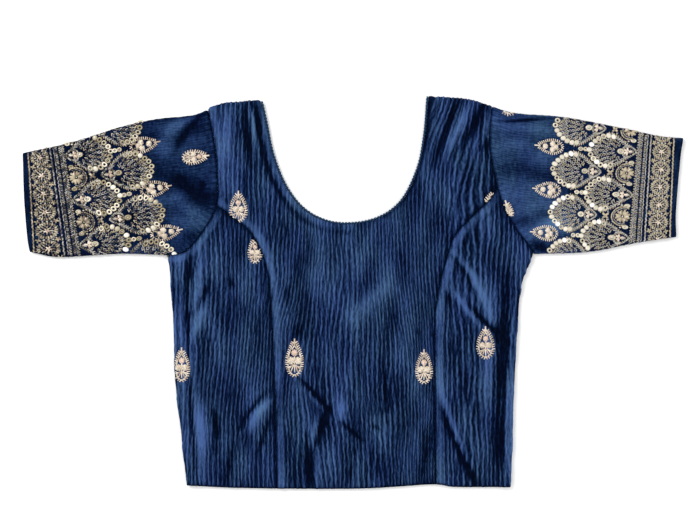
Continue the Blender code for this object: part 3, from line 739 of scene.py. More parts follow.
def back_panel(name, outline):
    """The back: crinkled on its outer face, which is down, and plain inside."""
    edge_count = len(outline)
    outer = np.vstack([outline, fine_points(outline)])
    inner = np.vstack([outline, inner_points(outline)])
    ribs = crinkle(outer * (-1, 1))
    sunk = 0.22 * (1 - ribs)
    sunk[:edge_count] = 0.1
    lower = np.column_stack([outer, BACK_REST - WALL / 2 + sunk])
    upper = np.column_stack([inner, np.full(len(inner), BACK_REST + WALL / 2)])
    faces = walled(len(inner), edge_count, triangles(inner, edge_count),
                   triangles(outer, edge_count))
    panel = solid_mesh(name, np.vstack([upper, lower]), faces)
    # Painted light and shade on the ribs of the underside: lighter on their crests, darker in their
    # troughs.
    keep_values(panel.data, "crest", np.concatenate([np.full(len(inner), 0.4), 0.5 + 0.4 * ribs]))
    return panel


def ring(*stretches, sign=1):
    """An outline from stretches that follow each other, without doubled corners, turning left."""
    points = np.vstack([spaced(stretch, OUTLINE_STEP) for stretch in stretches])
    gap = np.hypot(*(points - np.roll(points, 1, axis=0)).T)
    points = points[gap > OUTLINE_STEP / 10] * (sign, 1)
    return points if signed_area(points) > 0 else points[::-1]


def signed_area(outline):
    x, y = outline.T
    return np.sum(x * np.roll(y, -1) - np.roll(x, -1) * y) / 2


def between(curve, low, high, column=1):
    """The stretch of a curve from one height to another, or from one place across if column is 0."""
    order = curve[np.argsort(curve[:, column])]
    other = 1 - column
    ends = np.empty((2, 2))
    ends[:, column] = (low, high)
    ends[:, other] = np.interp((low, high), order[:, column], order[:, other])
    middle = order[(order[:, column] > low) & (order[:, column] < high)]
    return np.vstack([ends[:1], middle, ends[1:]])


def body_armhole(side):
    """The armhole edge of the body, a seam's width inside the sleeve's, outward counted as plus."""
    return beside(outward(spline(side.armhole), side.sign), -SEAM_GAP / 2)


def side_seam(piece, hem, arm, behind):
    """The side seam on the underside, a way inside the fold, from the hem up to the armhole."""
    levels = np.linspace(hem[:, 1].min(), arm[-1, 1], CURVE_POINTS)
    seam = np.column_stack([piece.edge_at(levels) - behind, levels])
    foot, head = hem[:, 1].mean(), arm[0, 1]
    for _ in range(CORNER_ROUNDS):
        foot = float(y_at(hem, x_at(seam, foot)))
        head = float(y_at(arm, x_at(seam, head)))
    return between(seam, foot, head)


def side_outline(piece, side):
    """A side front's outline, from the princess seam to the side seam on the underside."""
    hem = outward(spline(HEM), side.sign)
    seam = outward(spline(side.princess), side.sign) + (SEAM_GAP / 2, 0)
    armhole = body_armhole(side)
    behind = SIDE_TURN + SEAM_BEHIND
    low, high = armhole[-1, 1], seam[0, 1]
    seam[0, 0] = x_at(armhole, high)
    armpit = piece.edge_at(low)
    armhole[-1, 0] = armpit
    arm = between(armhole, low, high)
    start = x_at(seam, y_at(hem, seam[-1, 0]))
    fold = piece.edge_at(y_at(hem, armpit))
    bottom = y_at(hem, start)
    under = side_seam(piece, hem, arm, behind)
    return ring(
        between(seam, bottom, high)[::-1],
        piece.over(between(hem, start, fold, column=0)),
        piece.under(between(hem, under[0, 0], fold, column=0)[::-1]),
        piece.under(under),
        piece.under(between(arm, under[-1, 0], armpit, column=0)),
        piece.over(arm),
        sign=side.sign,
    )


def neck_edge():
    """The neck edge of the panels, set back from the edging, as its left and right halves."""
    curve = beside(spline(NECK), -(EDGING_WIDTH + SEAM_GAP))
    lowest = int(np.argmin(curve[:, 1]))
    return curve[:lowest + 1], curve[lowest:]


def strap(piece, side, neck_half, lowest):
    """One strap of the middle front, from the princess seam up, over, under and down the neck."""
    armhole = body_armhole(side) * (side.sign, 1)
    behind = SHOULDER_TURN + SEAM_BEHIND
    top = piece.edge_at(armhole[0, 0])
    arm_over = between(armhole, lowest, top)
    arm_under = between(armhole, top - behind, top)[::-1]
    inner_top = piece.edge_at(x_at(neck_half, top))
    neck_under = between(neck_half, inner_top - behind, inner_top)
    neck_over = between(neck_half, neck_half[:, 1].min(), inner_top)[::-1]
    seam = np.vstack([piece.under(arm_under[-1:]), piece.under(neck_under[:1])])
    return [piece.over(arm_over), piece.under(arm_under), seam, piece.under(neck_under),
            piece.over(neck_over)]


def centre_outline(piece):
    """The middle front's outline, between the princess seams and over the shoulders."""
    hem = spline(HEM)
    left_neck, right_neck = neck_edge()
    left_seam = spline(LEFT.princess) + (SEAM_GAP / 2, 0)
    right_seam = spline(RIGHT.princess) - (SEAM_GAP / 2, 0)
    low_left, low_right = left_seam[-1, 0], right_seam[-1, 0]
    up_right = between(right_seam, y_at(hem, low_right), right_seam[0, 1])
    down_left = between(left_seam, y_at(hem, low_left), left_seam[0, 1])[::-1]
    right_strap = strap(piece, RIGHT, right_neck, right_seam[0, 1])
    left_strap = strap(piece, LEFT, left_neck, left_seam[0, 1])
    return ring(
        between(hem, low_left, low_right, column=0),
        up_right,
        *right_strap,
        *[stretch[::-1] for stretch in reversed(left_strap)],
        down_left,
    )


def back_half(side, neck_half):
    """The outline of half the back, from the hem's middle up to the neck's, outward as plus."""
    piece = SidePiece(side)
    shoulders = CentrePiece()
    hem = outward(spline(HEM), side.sign)
    armhole = body_armhole(side)
    neck = outward(neck_half, side.sign)
    low_arm = between(armhole, armhole[-1, 1], armhole[-1, 1] + 3 * SEAM_BEHIND)
    seam = side_seam(piece, hem, low_arm, SIDE_TURN + SEAM_BEHIND + SEAM_GAP)
    down = SHOULDER_TURN + SEAM_BEHIND + SEAM_GAP
    arm_top = shoulders.edge_at(side.sign * armhole[0, 0]) - down
    neck_top = shoulders.edge_at(side.sign * x_at(neck, arm_top)) - down
    arm = between(armhole, seam[-1, 1], arm_top)
    inner = between(neck, neck[:, 1].min(), neck_top)[::-1]
    return [
        between(hem, 0.0, seam[0, 0], column=0),
        seam,
        arm,
        np.vstack([arm[-1:], inner[:1]]),
        inner,
    ]


def back_outline():
    left_neck, right_neck = neck_edge()
    right = back_half(RIGHT, right_neck)
    left = [stretch * (-1, 1) for stretch in back_half(LEFT, left_neck)]
    return ring(*right, *[stretch[::-1] for stretch in reversed(left)])


def share_at(curve, share):
    """Points at shares of a curve's length."""
    run = along(curve)
    return np.column_stack([np.interp(share * run[-1], run, curve[:, k]) for k in (0, 1)])


def patch(side, u, v):
    """Places on the laid sleeve, blended from its four edges: armhole, cuff, top and bottom."""
    half = (0, WALL / 2)
    armhole = beside(outward(spline(side.armhole), side.sign), SEAM_GAP / 2)
    armhole[0, 1] -= WALL / 2
    armhole[-1, 0] -= WALL / 2
    cuff = outward(spline(side.cuff), side.sign)
    top = outward(spline(side.sleeve_top), side.sign) - half
    bottom = outward(spline(side.sleeve_bottom), side.sign) + half
    top[0], bottom[0] = armhole[0], armhole[-1]
    cuff[0], cuff[-1] = top[-1], bottom[-1]
    mixed = (1 - u)[:, None] * share_at(armhole, v) + u[:, None] * share_at(cuff, v)
    mixed = mixed + (1 - v)[:, None] * share_at(top, u) + v[:, None] * share_at(bottom, u)
    u, v = u[:, None], v[:, None]
    corners = (1 - u) * (1 - v) * armhole[0] + (1 - u) * v * armhole[-1]
    return mixed - corners - u * (1 - v) * cuff[0] - u * v * cuff[-1]


def sleeve_columns():
    """Columns of a sleeve ring: front 0, bottom 1, back 2 or top 3; share across; angle of the turn."""
    front = [(0, share, 0.0) for share in np.linspace(0, 1, FRONT_COLUMNS)]
    turn = np.linspace(0, math.pi, TURN_COLUMNS + 2)[1:-1]
    bottom = [(1, 1.0, angle) for angle in turn]
    back = [(2, share, math.pi) for share in np.linspace(1, 0, BACK_COLUMNS)]
    top = [(3, 0.0, angle) for angle in turn[::-1]]
    return np.array(front + bottom + back + top).T


def sleeve_points(side, stations, outer):
    """Points of the sleeve's outer or inner face, station by station, and how light each is, with painted
    light and shade.
    """
    layer, across, angle = (np.tile(row, stations) for row in sleeve_columns())
    columns = len(layer) // stations
    u = np.repeat(np.linspace(0, 1, stations), columns)
    full = np.linspace(0, 1, CURVE_POINTS)
    widths = [along(patch(side, np.full(CURVE_POINTS, at), full))[-1]
              for at in np.linspace(0, 1, stations)]
    width = np.repeat(widths, columns)
    turn = SLEEVE_TURN / width
    sunk = turn * (1 - np.sin(angle))
    v = np.select([layer == 1, layer == 3], [1 - sunk, sunk], turn + across * (1 - 2 * turn))
    flat = patch(side, u, v)
    way = patch(side, u, np.minimum(v + NEARBY, 1)) - patch(side, u, np.maximum(v - NEARBY, 0))
    way /= np.hypot(*way.T)[:, None]
    lean = np.select([layer == 1, layer == 3], [np.sin(angle), -np.sin(angle)], 0.0)
    x = side.sign * flat[:, 0]
    y = flat[:, 1]
    z = BACK_REST + SLEEVE_TURN * (1 + np.cos(angle))
    near = eased(1 - np.minimum(across, 1 - across) * width / TURN_REACH)
    lift = fold_lift(x, y)
    if outer:
        level = np.maximum(FRONT_REST + lift * (1 - near), LOWEST_FRONT)
    else:
        level = np.interp(u, (0.9, 1), (LOWEST_FRONT, FRONT_REST))
    z = np.where(layer == 0, level + (z - level) * near, z)
    relief, crest = sleeve_relief(side, u, v, layer, width, np.column_stack([x, y]), lift)
    reach = WALL / 2 + relief if outer else np.full(len(u), -WALL / 2)
    points = np.column_stack([x + side.sign * reach * lean * way[:, 0],
                              y + reach * lean * way[:, 1], z + reach * np.cos(angle)])
    return points.reshape(stations, columns, 3), crest


def sleeve_relief(side, u, v, layer, width, places, lift):
    """Relief of a sleeve's outer face and how light it is: fine ripples along it, and seam puckers, with
    painted light and shade on them.
    """
    girth = np.where(layer <= 1, v * width, (2 - v) * width)
    length = SLEEVE_LENGTH * u
    from_cuff = (1 - u) * SLEEVE_LENGTH
    plain = np.exp(-((from_cuff / 9) ** 4))
    ripples = SLEEVE_RIPPLES.crests(girth + 40 * side.sign, length) * (1 - 0.7 * plain)
    broad = BROAD.swell(places[:, 1] + 90, places[:, 0])
    gaps, _, run = near_curve(places, spline(side.armhole))
    pucker = 0.35 * np.sin(2 * math.pi * run / 5.4 + np.sin(run / 8)) * np.exp(-gaps / 8)
    relief = RIPPLE_HEIGHT * ripples + pucker - 0.6 * np.exp(-((gaps / 1.1) ** 2))
    relief = relief + np.where(layer == 0, 0.15 * broad, 0)
    folds = np.where(lift < 0, 0.36, 0.2) * np.clip(lift, -1.5, 1.6) * (layer == 0)
    # Painted light and shade: the right sleeve lighter and the left darker, as light falls, and lighter
    # on the crests of ripples, folds and puckers.
    crest = 0.4 + 0.1 * side.sign + 0.09 * ripples + folds + 0.1 * broad + 0.3 * pucker
    # Painted shade among the stitches of the border, and in the armhole seam's groove; darker too along
    # the plain band at the cuff.
    crest = crest * np.interp(from_cuff - 8, (-2, 0, 100, 128), (1, 0.4, 0.45, 1))
    crest = crest * (1 - 0.6 * np.exp(-((gaps / 0.9) ** 2))) * (1 - 0.5 * plain)
    relief = np.where(layer == 2, np.clip(relief - 0.45, -0.6, -0.2), relief)
    return np.clip(relief, -0.7, 1.2), np.clip(crest, 0, 1)


def sleeve(name, side):
    """A sleeve: a flattened tube from the armhole to the cuff, open at both ends."""
    outer, crest = sleeve_points(side, SLEEVE_STATIONS, True)
    inner, _ = sleeve_points(side, INNER_STATIONS, False)
    columns = outer.shape[1]
    base = outer.shape[0] * columns
    faces = []
    for column in range(columns):
        beyond = (column + 1) % columns
        for station in range(outer.shape[0] - 1):
            a, b = station * columns + column, station * columns + beyond
            faces.append((a, b, b + columns, a + columns))
        for station in range(inner.shape[0] - 1):
            a, b = base + station * columns + column, base + station * columns + beyond
            faces.append((a, a + columns, b + columns, b))
        faces.append((column, base + column, base + beyond, beyond))
        last = base - columns
        far = base + (inner.shape[0] - 1) * columns
        faces.append((last + column, last + beyond, far + beyond, far + column))
    if side.sign < 0:
        faces = [face[::-1] for face in faces]
    tube = solid_mesh(name, np.vstack([outer.reshape(-1, 3), inner.reshape(-1, 3)]), faces)
    keep_values(tube.data, "crest", np.concatenate([crest, np.full(inner[..., 0].size, 0.35)]))
    return tube


def surface_finish(name, roughness, sheen=0.0, metallic=0.0, shine=0.5):
    """A material with its shader's plain values set."""
    material = bpy.data.materials.new(name)
    material.use_nodes = True
    surface = material.node_tree.nodes["Principled BSDF"]
    surface.inputs["Roughness"].default_value = roughness
    surface.inputs["Metallic"].default_value = metallic
    surface.inputs["Sheen Weight"].default_value = sheen
    surface.inputs["Sheen Roughness"].default_value = 0.4
    surface.inputs["Specular IOR Level"].default_value = shine
    return material, material.node_tree, surface


def colour_steps(tree, steps):
    """A colour ramp from pairs of a place and a colour."""
    ramp = tree.nodes.new("ShaderNodeValToRGB")
    band = ramp.color_ramp
    while len(band.elements) < len(steps):
        band.elements.new(0.5)
    for element, (place, colour) in zip(band.elements, steps):
        element.position = place
        element.color = (*colour, 1.0)
    return ramp


def spread(tree, scale, detail=2.0):
    """Noise in the piece's own coordinates, with a scale for each axis in waves a metre."""
    place = tree.nodes.new("ShaderNodeTexCoord")
    sized = tree.nodes.new("ShaderNodeMapping")
    sized.inputs["Scale"].default_value = scale
    noise = tree.nodes.new("ShaderNodeTexNoise")
    noise.inputs["Scale"].default_value = 1.0
    noise.inputs["Detail"].default_value = detail
    tree.links.new(place.outputs["Object"], sized.inputs["Vector"])
    tree.links.new(sized.outputs["Vector"], noise.inputs["Vector"])
    return noise


def mixed_colour(tree, factor, first, second, kind="MIX"):
    """A mix of two colour outputs; the factor is a number or an output."""
    mix = tree.nodes.new("ShaderNodeMix")
    mix.data_type = "RGBA"
    mix.blend_type = kind
    if isinstance(factor, float):
        mix.inputs["Factor"].default_value = factor
    else:
        tree.links.new(factor, mix.inputs["Factor"])
    tree.links.new(first, mix.inputs["A"])
    tree.links.new(second, mix.inputs["B"])
    return mix.outputs["Result"]


def rough_surface(tree, surface, noise, strength, depth):
    """Fine relief from noise, too small to model."""
    bump = tree.nodes.new("ShaderNodeBump")
    bump.inputs["Strength"].default_value = strength
    bump.inputs["Distance"].default_value = depth
    tree.links.new(noise.outputs["Fac"], bump.inputs["Height"])
    tree.links.new(bump.outputs["Normal"], surface.inputs["Normal"])


def cloth_finish(name, shades, crepe):
    """Navy cloth, from the crest value: painted shade in the troughs of the crinkle and painted light on
    its crests.
    """
    material, tree, surface = surface_finish(name, roughness=0.85, sheen=0.01, shine=0.02)
    surface.inputs["Sheen Tint"].default_value = (0.42, 0.6, 1.0, 1.0)
    value = tree.nodes.new("ShaderNodeAttribute")
    value.attribute_name = "crest"
    total = value.outputs["Fac"]
    for scale, reach in (((420, 170, 420), 0.5), (crepe, 0.42)):
        flecks = spread(tree, scale, 3.0)
        sized = tree.nodes.new("ShaderNodeMath")
        sized.operation = "MULTIPLY_ADD"
        sized.inputs[1].default_value = reach
        sized.inputs[2].default_value = -reach / 2
        flecked = tree.nodes.new("ShaderNodeMath")
        flecked.operation = "ADD"
        tree.links.new(flecks.outputs["Fac"], sized.inputs[0])
        tree.links.new(sized.outputs["Value"], flecked.inputs[0])
        tree.links.new(total, flecked.inputs[1])
        total = flecked.outputs["Value"]
    ramp = colour_steps(tree, shades)
    tree.links.new(total, ramp.inputs["Fac"])
    patches = spread(tree, (45, 20, 45))
    tints = colour_steps(tree, ((0.35, (0.86, 0.86, 1.05)), (0.7, (1.1, 1.14, 1.04))))
    tree.links.new(patches.outputs["Fac"], tints.inputs["Fac"])
    shade = mixed_colour(tree, 1.0, ramp.outputs["Color"], tints.outputs["Color"], "MULTIPLY")
    tree.links.new(shade, surface.inputs["Base Color"])
    rough_surface(tree, surface, spread(tree, crepe, 3.0), 0.6, 0.0003)
    return material


def thread_finish(name, dark, light, roughness, sheen, metallic=0.0, shine=0.5):
    """Thread or sequin whose tone differs from stitch to stitch."""
    material, tree, surface = surface_finish(name, roughness, sheen, metallic, shine)
    value = tree.nodes.new("ShaderNodeAttribute")
    value.attribute_name = "tone"
    ramp = colour_steps(tree, ((0.0, dark), (1.0, light)))
    tree.links.new(value.outputs["Fac"], ramp.inputs["Fac"])
    tree.links.new(ramp.outputs["Color"], surface.inputs["Base Color"])
    rough_surface(tree, surface, spread(tree, (3000, 3000, 3000), 1.0), 0.3, 0.0001)
    return material


def added(tree, kind, **values):
    """A new node of the tree, with plain values for its inputs, whose spaces are written as _."""
    node = tree.nodes.new(kind)
    for name, value in values.items():
        node.inputs[name.replace("_", " ")].default_value = value
    return node


def shape_node(tree, shape):
    """The small shape that a tree repeats, one unit across."""
    if shape == "stitch":
        rod = added(tree, "GeometryNodeMeshCylinder", Vertices=6, Radius=0.5, Depth=1.0)
        laid = added(tree, "GeometryNodeTransform", Rotation=(0, math.pi / 2, 0))
        tree.links.new(rod.outputs["Mesh"], laid.inputs["Geometry"])
        return laid.outputs["Geometry"]
    if shape == "bead":
        return added(tree, "GeometryNodeMeshIcoSphere", Radius=0.5, Subdivisions=1).outputs["Mesh"]
    if shape == "disc":
        cup = added(tree, "GeometryNodeMeshCone", Vertices=10, Radius_Top=0.32, Radius_Bottom=0.5,
                    Depth=1.0)
        return cup.outputs["Mesh"]
    wheel = added(tree, "GeometryNodeCurvePrimitiveCircle", Resolution=10, Radius=0.34)
    section = added(tree, "GeometryNodeCurvePrimitiveCircle", Resolution=4, Radius=0.16)
    swept = tree.nodes.new("GeometryNodeCurveToMesh")
    tree.links.new(wheel.outputs["Curve"], swept.inputs["Curve"])
    tree.links.new(section.outputs["Curve"], swept.inputs["Profile Curve"])
    return swept.outputs["Mesh"]


def named_vector(tree, name):
    """A vector that each point carries."""
    node = tree.nodes.new("GeometryNodeInputNamedAttribute")
    node.data_type = "FLOAT_VECTOR"
    node.inputs["Name"].default_value = name
    return node.outputs["Attribute"]


def scatter_tree(name, shape):
    """A tree that sets a small shape at each point, turned and sized by the values of the point."""
    tree = bpy.data.node_groups.new(name, "GeometryNodeTree")
    face = tree.interface
    face.new_socket("Points", in_out="INPUT", socket_type="NodeSocketGeometry")
    face.new_socket("Rise", in_out="INPUT", socket_type="NodeSocketFloat")
    face.new_socket("Finish", in_out="INPUT", socket_type="NodeSocketMaterial")
    face.new_socket("Work", in_out="OUTPUT", socket_type="NodeSocketGeometry")
    taken = tree.nodes.new("NodeGroupInput")
    given = tree.nodes.new("NodeGroupOutput")
    lengthways = tree.nodes.new("FunctionNodeAlignRotationToVector")
    lengthways.axis = "X"
    upright = tree.nodes.new("FunctionNodeAlignRotationToVector")
    upright.axis = "Z"
    upright.pivot_axis = "X"
    height = tree.nodes.new("ShaderNodeCombineXYZ")
    height.inputs["X"].default_value = 1.0
    height.inputs["Y"].default_value = 1.0
    sized = tree.nodes.new("ShaderNodeVectorMath")
    sized.operation = "MULTIPLY"
    placed = tree.nodes.new("GeometryNodeInstanceOnPoints")
    real = tree.nodes.new("GeometryNodeRealizeInstances")
    smooth = tree.nodes.new("GeometryNodeSetShadeSmooth")
    finish = tree.nodes.new("GeometryNodeSetMaterial")
    link = tree.links.new
    link(named_vector(tree, "way"), lengthways.inputs["Vector"])
    link(lengthways.outputs["Rotation"], upright.inputs["Rotation"])
    link(named_vector(tree, "up"), upright.inputs["Vector"])
    link(taken.outputs["Rise"], height.inputs["Z"])
    link(named_vector(tree, "size"), sized.inputs[0])
    link(height.outputs["Vector"], sized.inputs[1])
    link(taken.outputs["Points"], placed.inputs["Points"])
    link(shape_node(tree, shape), placed.inputs["Instance"])
    link(upright.outputs["Rotation"], placed.inputs["Rotation"])
    link(sized.outputs["Vector"], placed.inputs["Scale"])
    link(placed.outputs["Instances"], real.inputs["Geometry"])
    link(real.outputs["Geometry"], smooth.inputs["Geometry"])
    link(smooth.outputs["Geometry"], finish.inputs["Geometry"])
    link(taken.outputs["Finish"], finish.inputs["Material"])
    link(finish.outputs["Geometry"], given.inputs["Work"])
    return tree


def set_input(modifier, name, value):
    """Gives a value to the input of a modifier's tree that has this name."""
    for item in modifier.node_group.interface.items_tree:
        if item.in_out == "INPUT" and item.name == name:
            modifier[item.identifier] = value


def scattered(name, tree, places, ways, ups, sizes, tones, finish, rise):
    """Sets the tree's shape at each place and keeps the result as a plain mesh."""
    mesh = bpy.data.meshes.new(name)
    mesh.from_pydata((np.asarray(places) * MM).tolist(), [], [])
    for word, rows in (("way", ways), ("up", ups), ("size", np.asarray(sizes) * MM)):
        kept = mesh.attributes.new(word, "FLOAT_VECTOR", "POINT")
        kept.data.foreach_set("vector", np.asarray(rows, np.float32).ravel())
    keep_values(mesh, "tone", tones)
    holder = bpy.data.objects.new(name, mesh)
    bpy.context.scene.collection.objects.link(holder)
    modifier = holder.modifiers.new("work", "NODES")
    modifier.node_group = tree
    set_input(modifier, "Rise", rise)
    set_input(modifier, "Finish", finish)
    seen = holder.evaluated_get(bpy.context.evaluated_depsgraph_get())
    made = bpy.data.meshes.new_from_object(seen)
    holder.modifiers.remove(modifier)
    holder.data = made
    bpy.data.meshes.remove(mesh)
    made.name = name
    return holder


class Work:
    """Stitches and sequins of one embroidered place, kept by kind until they are laid on the cloth."""

    def __init__(self, seed, dullest=0.0, sequin_shares=(1.0, 0.0, 0.0)):
        self.rows = {}
        self.draw = np.random.default_rng(seed)
        self.dullest = dullest
        self.sequin_shares = sequin_shares

    def stitch(self, kind, start, end, width):
        """A stitch from one place to another, a little out of true."""
        slip = self.draw.normal(0, HAND_SLIP, 4)
        tone = self.draw.uniform(self.dullest, 1)
        row = (start[0] + slip[0], start[1] + slip[1], end[0] + slip[2], end[1] + slip[3])
        self.rows.setdefault(kind, []).append((*row, width, tone))

    def spot(self, kind, place, way, length, width):
        """A bead or sequin at a place, longer along the way."""
        half = length / 2 * np.asarray(way)
        self.stitch(kind, np.asarray(place) - half, np.asarray(place) + half, width)


def frame_at(along_row, across_row, lean=0.0, grow=1.0, stretch=1.0):
    """A motif's own place: a function from forward and aside to the cloth's coordinates."""
    cosine, sine = math.cos(math.radians(lean)), math.sin(math.radians(lean))

    def spot(forward, aside):
        forward, aside = forward * stretch * grow, aside * grow
        return np.array([along_row + forward * cosine - aside * sine,
                         across_row + forward * sine + aside * cosine])

    return spot


def direction(spot, forward, aside, angle):
    """The cloth's direction for an angle from forward at a place in a motif."""
    here = spot(forward, aside)
    there = spot(forward + math.cos(angle), aside + math.sin(angle))
    return (there - here) / np.hypot(*(there - here))


def rays(work, kind, spot, middle, radii, angles, width, squash=1.0):
    """Stitches that radiate from a middle, between two radii."""
    forward, aside = middle
    inner, outer = radii
    for angle in np.radians(angles):
        way_f, way_a = math.cos(angle), math.sin(angle) * squash
        work.stitch(kind, spot(forward + inner * way_f, aside + inner * way_a),
                    spot(forward + outer * way_f, aside + outer * way_a), width)


def circle_of(count, start=0.0):
    return start + np.arange(count) * 360.0 / count


def dots(work, kind, spot, middle, radius, angles, size):
    """Beads round a middle."""
    for angle in np.radians(angles):
        forward = middle[0] + radius * math.cos(angle)
        aside = middle[1] + radius * math.sin(angle)
        way = direction(spot, forward, aside, angle + math.pi / 2)
        work.spot(kind, spot(forward, aside), way, *size)


def stitched_line(work, kind, spot, curve, step, length, lean, width):
    """Stitches at even steps along a curve, leaning outward from it by an angle in degrees."""
    points = spaced(curve, step)
    ways = np.gradient(points, axis=0)
    for (forward, aside), way in zip(points[:-1], ways):
        angle = math.atan2(way[1], way[0]) + math.radians(lean)
        end = (forward + length * math.cos(angle), aside + length * math.sin(angle))
        work.stitch(kind, spot(forward, aside), spot(*end), width)


def teardrop(length, width):
    """Half of a teardrop's edge from its round base to its point, centred on its middle."""
    share = np.linspace(0, 1, 30) ** 1.6
    aside = width / 2 * share**0.62 * (1 - share) ** 1.1 / 0.325
    return np.column_stack([length * (share - 0.5), aside])


def fan_edge(length, width):
    """Half of a broad leaf's edge, from its pointed base to its rounded tip."""
    shape = spline(((0, 0), (0.1, 0.17), (0.24, 0.5), (0.4, 0.84), (0.56, 1.0), (0.72, 0.93),
                    (0.86, 0.66), (0.96, 0.32), (1.0, 0.0)), 6)
    return shape * (length, width / 2)


def mirrored(curve):
    return curve * (1, -1)


def medallion(work, spot):
    """A round flower: an outer ring of short stitches, an inner ring and petals round a bead."""
    rays(work, "gold", spot, (0, 0), (6.4, 8.7), circle_of(22), 1.75, 0.95)
    rays(work, "silver", spot, (0, 0), (8.0, 9.6), circle_of(22, 8), 0.9, 0.95)
    rays(work, "silver", spot, (0, 0), (4.3, 6.0), circle_of(13, 7), 1.2, 0.95)
    rays(work, "gold", spot, (0, 0), (2.9, 4.6), circle_of(8, 4), 1.4, 0.95)
    rays(work, "peach", spot, (0, 0), (0.6, 2.6), circle_of(5, 15), 1.6)
    dots(work, "bead", spot, (0, 0), 0.0, (0,), (1.5, 1.4))


def floret(work, spot, forward, petals=4):
    """A tiny flower between two medallions."""
    rays(work, "gold", spot, (forward, 0), (0.4, 2.3), circle_of(petals, 20), 1.5)


def ladder(work, row, low, high):
    """The band of two columns of slanting stitches between two chain lines."""
    for number, across in enumerate(np.arange(low, high, 1.75)):
        for column, lean in ((27.2, 0.6), (31.1, -0.6)):
            kind = "silver" if number % 4 else "gold"
            work.stitch(kind, row(column, across - lean), row(column + 2.1, across + lean), 0.95)
    for reach in (26.0, 34.1):
        chain(work, row, reach, low, high, "silver", 0.95)


def chain(work, row, reach, low, high, kind, width):
    """A chain line along a row of the border."""
    for number, across in enumerate(np.arange(low, high, 1.9)):
        side = 0.3 if number % 2 else -0.3
        work.stitch(kind, row(reach - side, across - 1.1), row(reach + side, across + 1.1), width)


def picot_row(work, row, reach, low, high):
    """Small points along the body side of the ladder band."""
    for across in np.arange(low, high, 2.6):
        work.stitch("gold", row(reach, across - 0.9), row(reach + 1.6, across), 0.85)
        work.stitch("silver", row(reach + 1.6, across), row(reach, across + 0.9), 0.85)


def flower_under_arc(work, spot):
    """A six-petal flower with an arc of stitches over it, and a leaf and beads at each side."""
    for petal in circle_of(6):
        rays(work, "gold", spot, (0, 0), (1.8, 6.6), (petal - 15, petal + 15), 2.2)
        rays(work, "peach", spot, (0, 0), (2.2, 5.4), (petal,), 1.6)
    dots(work, "bead", spot, (0, 0), 0.0, (0,), (1.9, 1.8))
    dots(work, "gold", spot, (0, 0), 9.8, np.arange(-118, 119, 14), (1.8, 1.5))
    dots(work, "silver", spot, (0, 0), 8.0, np.arange(-110, 111, 14), (1.4, 0.9))
    rays(work, "gold", spot, (15.6, 0), (0.4, 3.3), circle_of(4, 45), 2.3)
    rays(work, "peach", spot, (15.6, 0), (0.8, 2.4), circle_of(4, 45), 1.1)
    dots(work, "silver", spot, (15.6, 0), 4.6, (60, 120, 240, 300), (1.6, 1.3))
    for side in (-1, 1):
        work.spot("ring", spot(-3.5, 11.2 * side), direction(spot, 0, 0, 0), 5.6, 4.2)
        work.spot("bead", spot(-3.5, 11.2 * side), direction(spot, 0, 0, 0), 2.2, 1.5)
        work.spot("bead", spot(1.3, 11.8 * side), direction(spot, 0, 0, 0), 2.3, 1.7)
        work.spot("bead", spot(4.2, 12.4 * side), direction(spot, 0, 0, 0), 1.9, 1.4)


def edge_reach(edge, focus):
    """Angles round a focus and how far the edge is from it there, for the full closed shape."""
    full = np.vstack([mirrored(edge), edge[::-1]])
    angles = np.arctan2(full[:, 1], full[:, 0] - focus)
    order = np.argsort(angles)
    return angles[order], np.hypot(full[:, 0] - focus, full[:, 1])[order]


def palmette(work, spot, length, width, focus, tips):
    """A broad leaf: veins of paired stitches, sequins round its rim and feathered flanks."""
    edge = fan_edge(length, width)
    angles, reaches = edge_reach(edge, focus)
    for number, angle in enumerate(np.radians(np.arange(-135, 136, 7.5))):
        start = (5.4, 21.0, 11.5, 21.0)[number % 4]
        limit = float(np.interp(angle, angles, reaches)) - 6.6
        for radius in np.arange(start, limit, 2.7):
            forward = focus + radius * math.cos(angle)
            aside = radius * math.sin(angle)
            for lean in (0.5, -0.5):
                tip = angle + lean
                kind = "silver" if work.draw.uniform() < 0.66 else "gold"
                end = spot(forward + 2.9 * math.cos(tip), aside + 2.9 * math.sin(tip))
                work.stitch(kind, spot(forward, aside), end, 0.85)
    rim_sequins(work, spot, edge, focus)
    flank = edge[(edge[:, 0] < 0.6 * length) & (edge[:, 0] > 0.14 * length)]
    for half, out in ((flank, 1), (mirrored(flank), -1)):
        stitched_line(work, "silver", spot, half, 2.0, 2.2, 4 * out, 1.1)
        stitched_line(work, "gold", spot, half, 2.3, 2.7, 46 * out, 1.0)
        stitched_line(work, "silver", spot, half, 2.3, 2.7, -46 * out, 1.0)
    for number in range(tips):
        work.spot("ring", spot(length + 1.8 + 5.0 * number, 0), direction(spot, 0, 0, 0), 5.2, 4.8)
        work.spot("bead", spot(length + 1.8 + 5.0 * number, 0), direction(spot, 0, 0, 0), 1.8, 1.5)
    palmette_base(work, spot, focus)


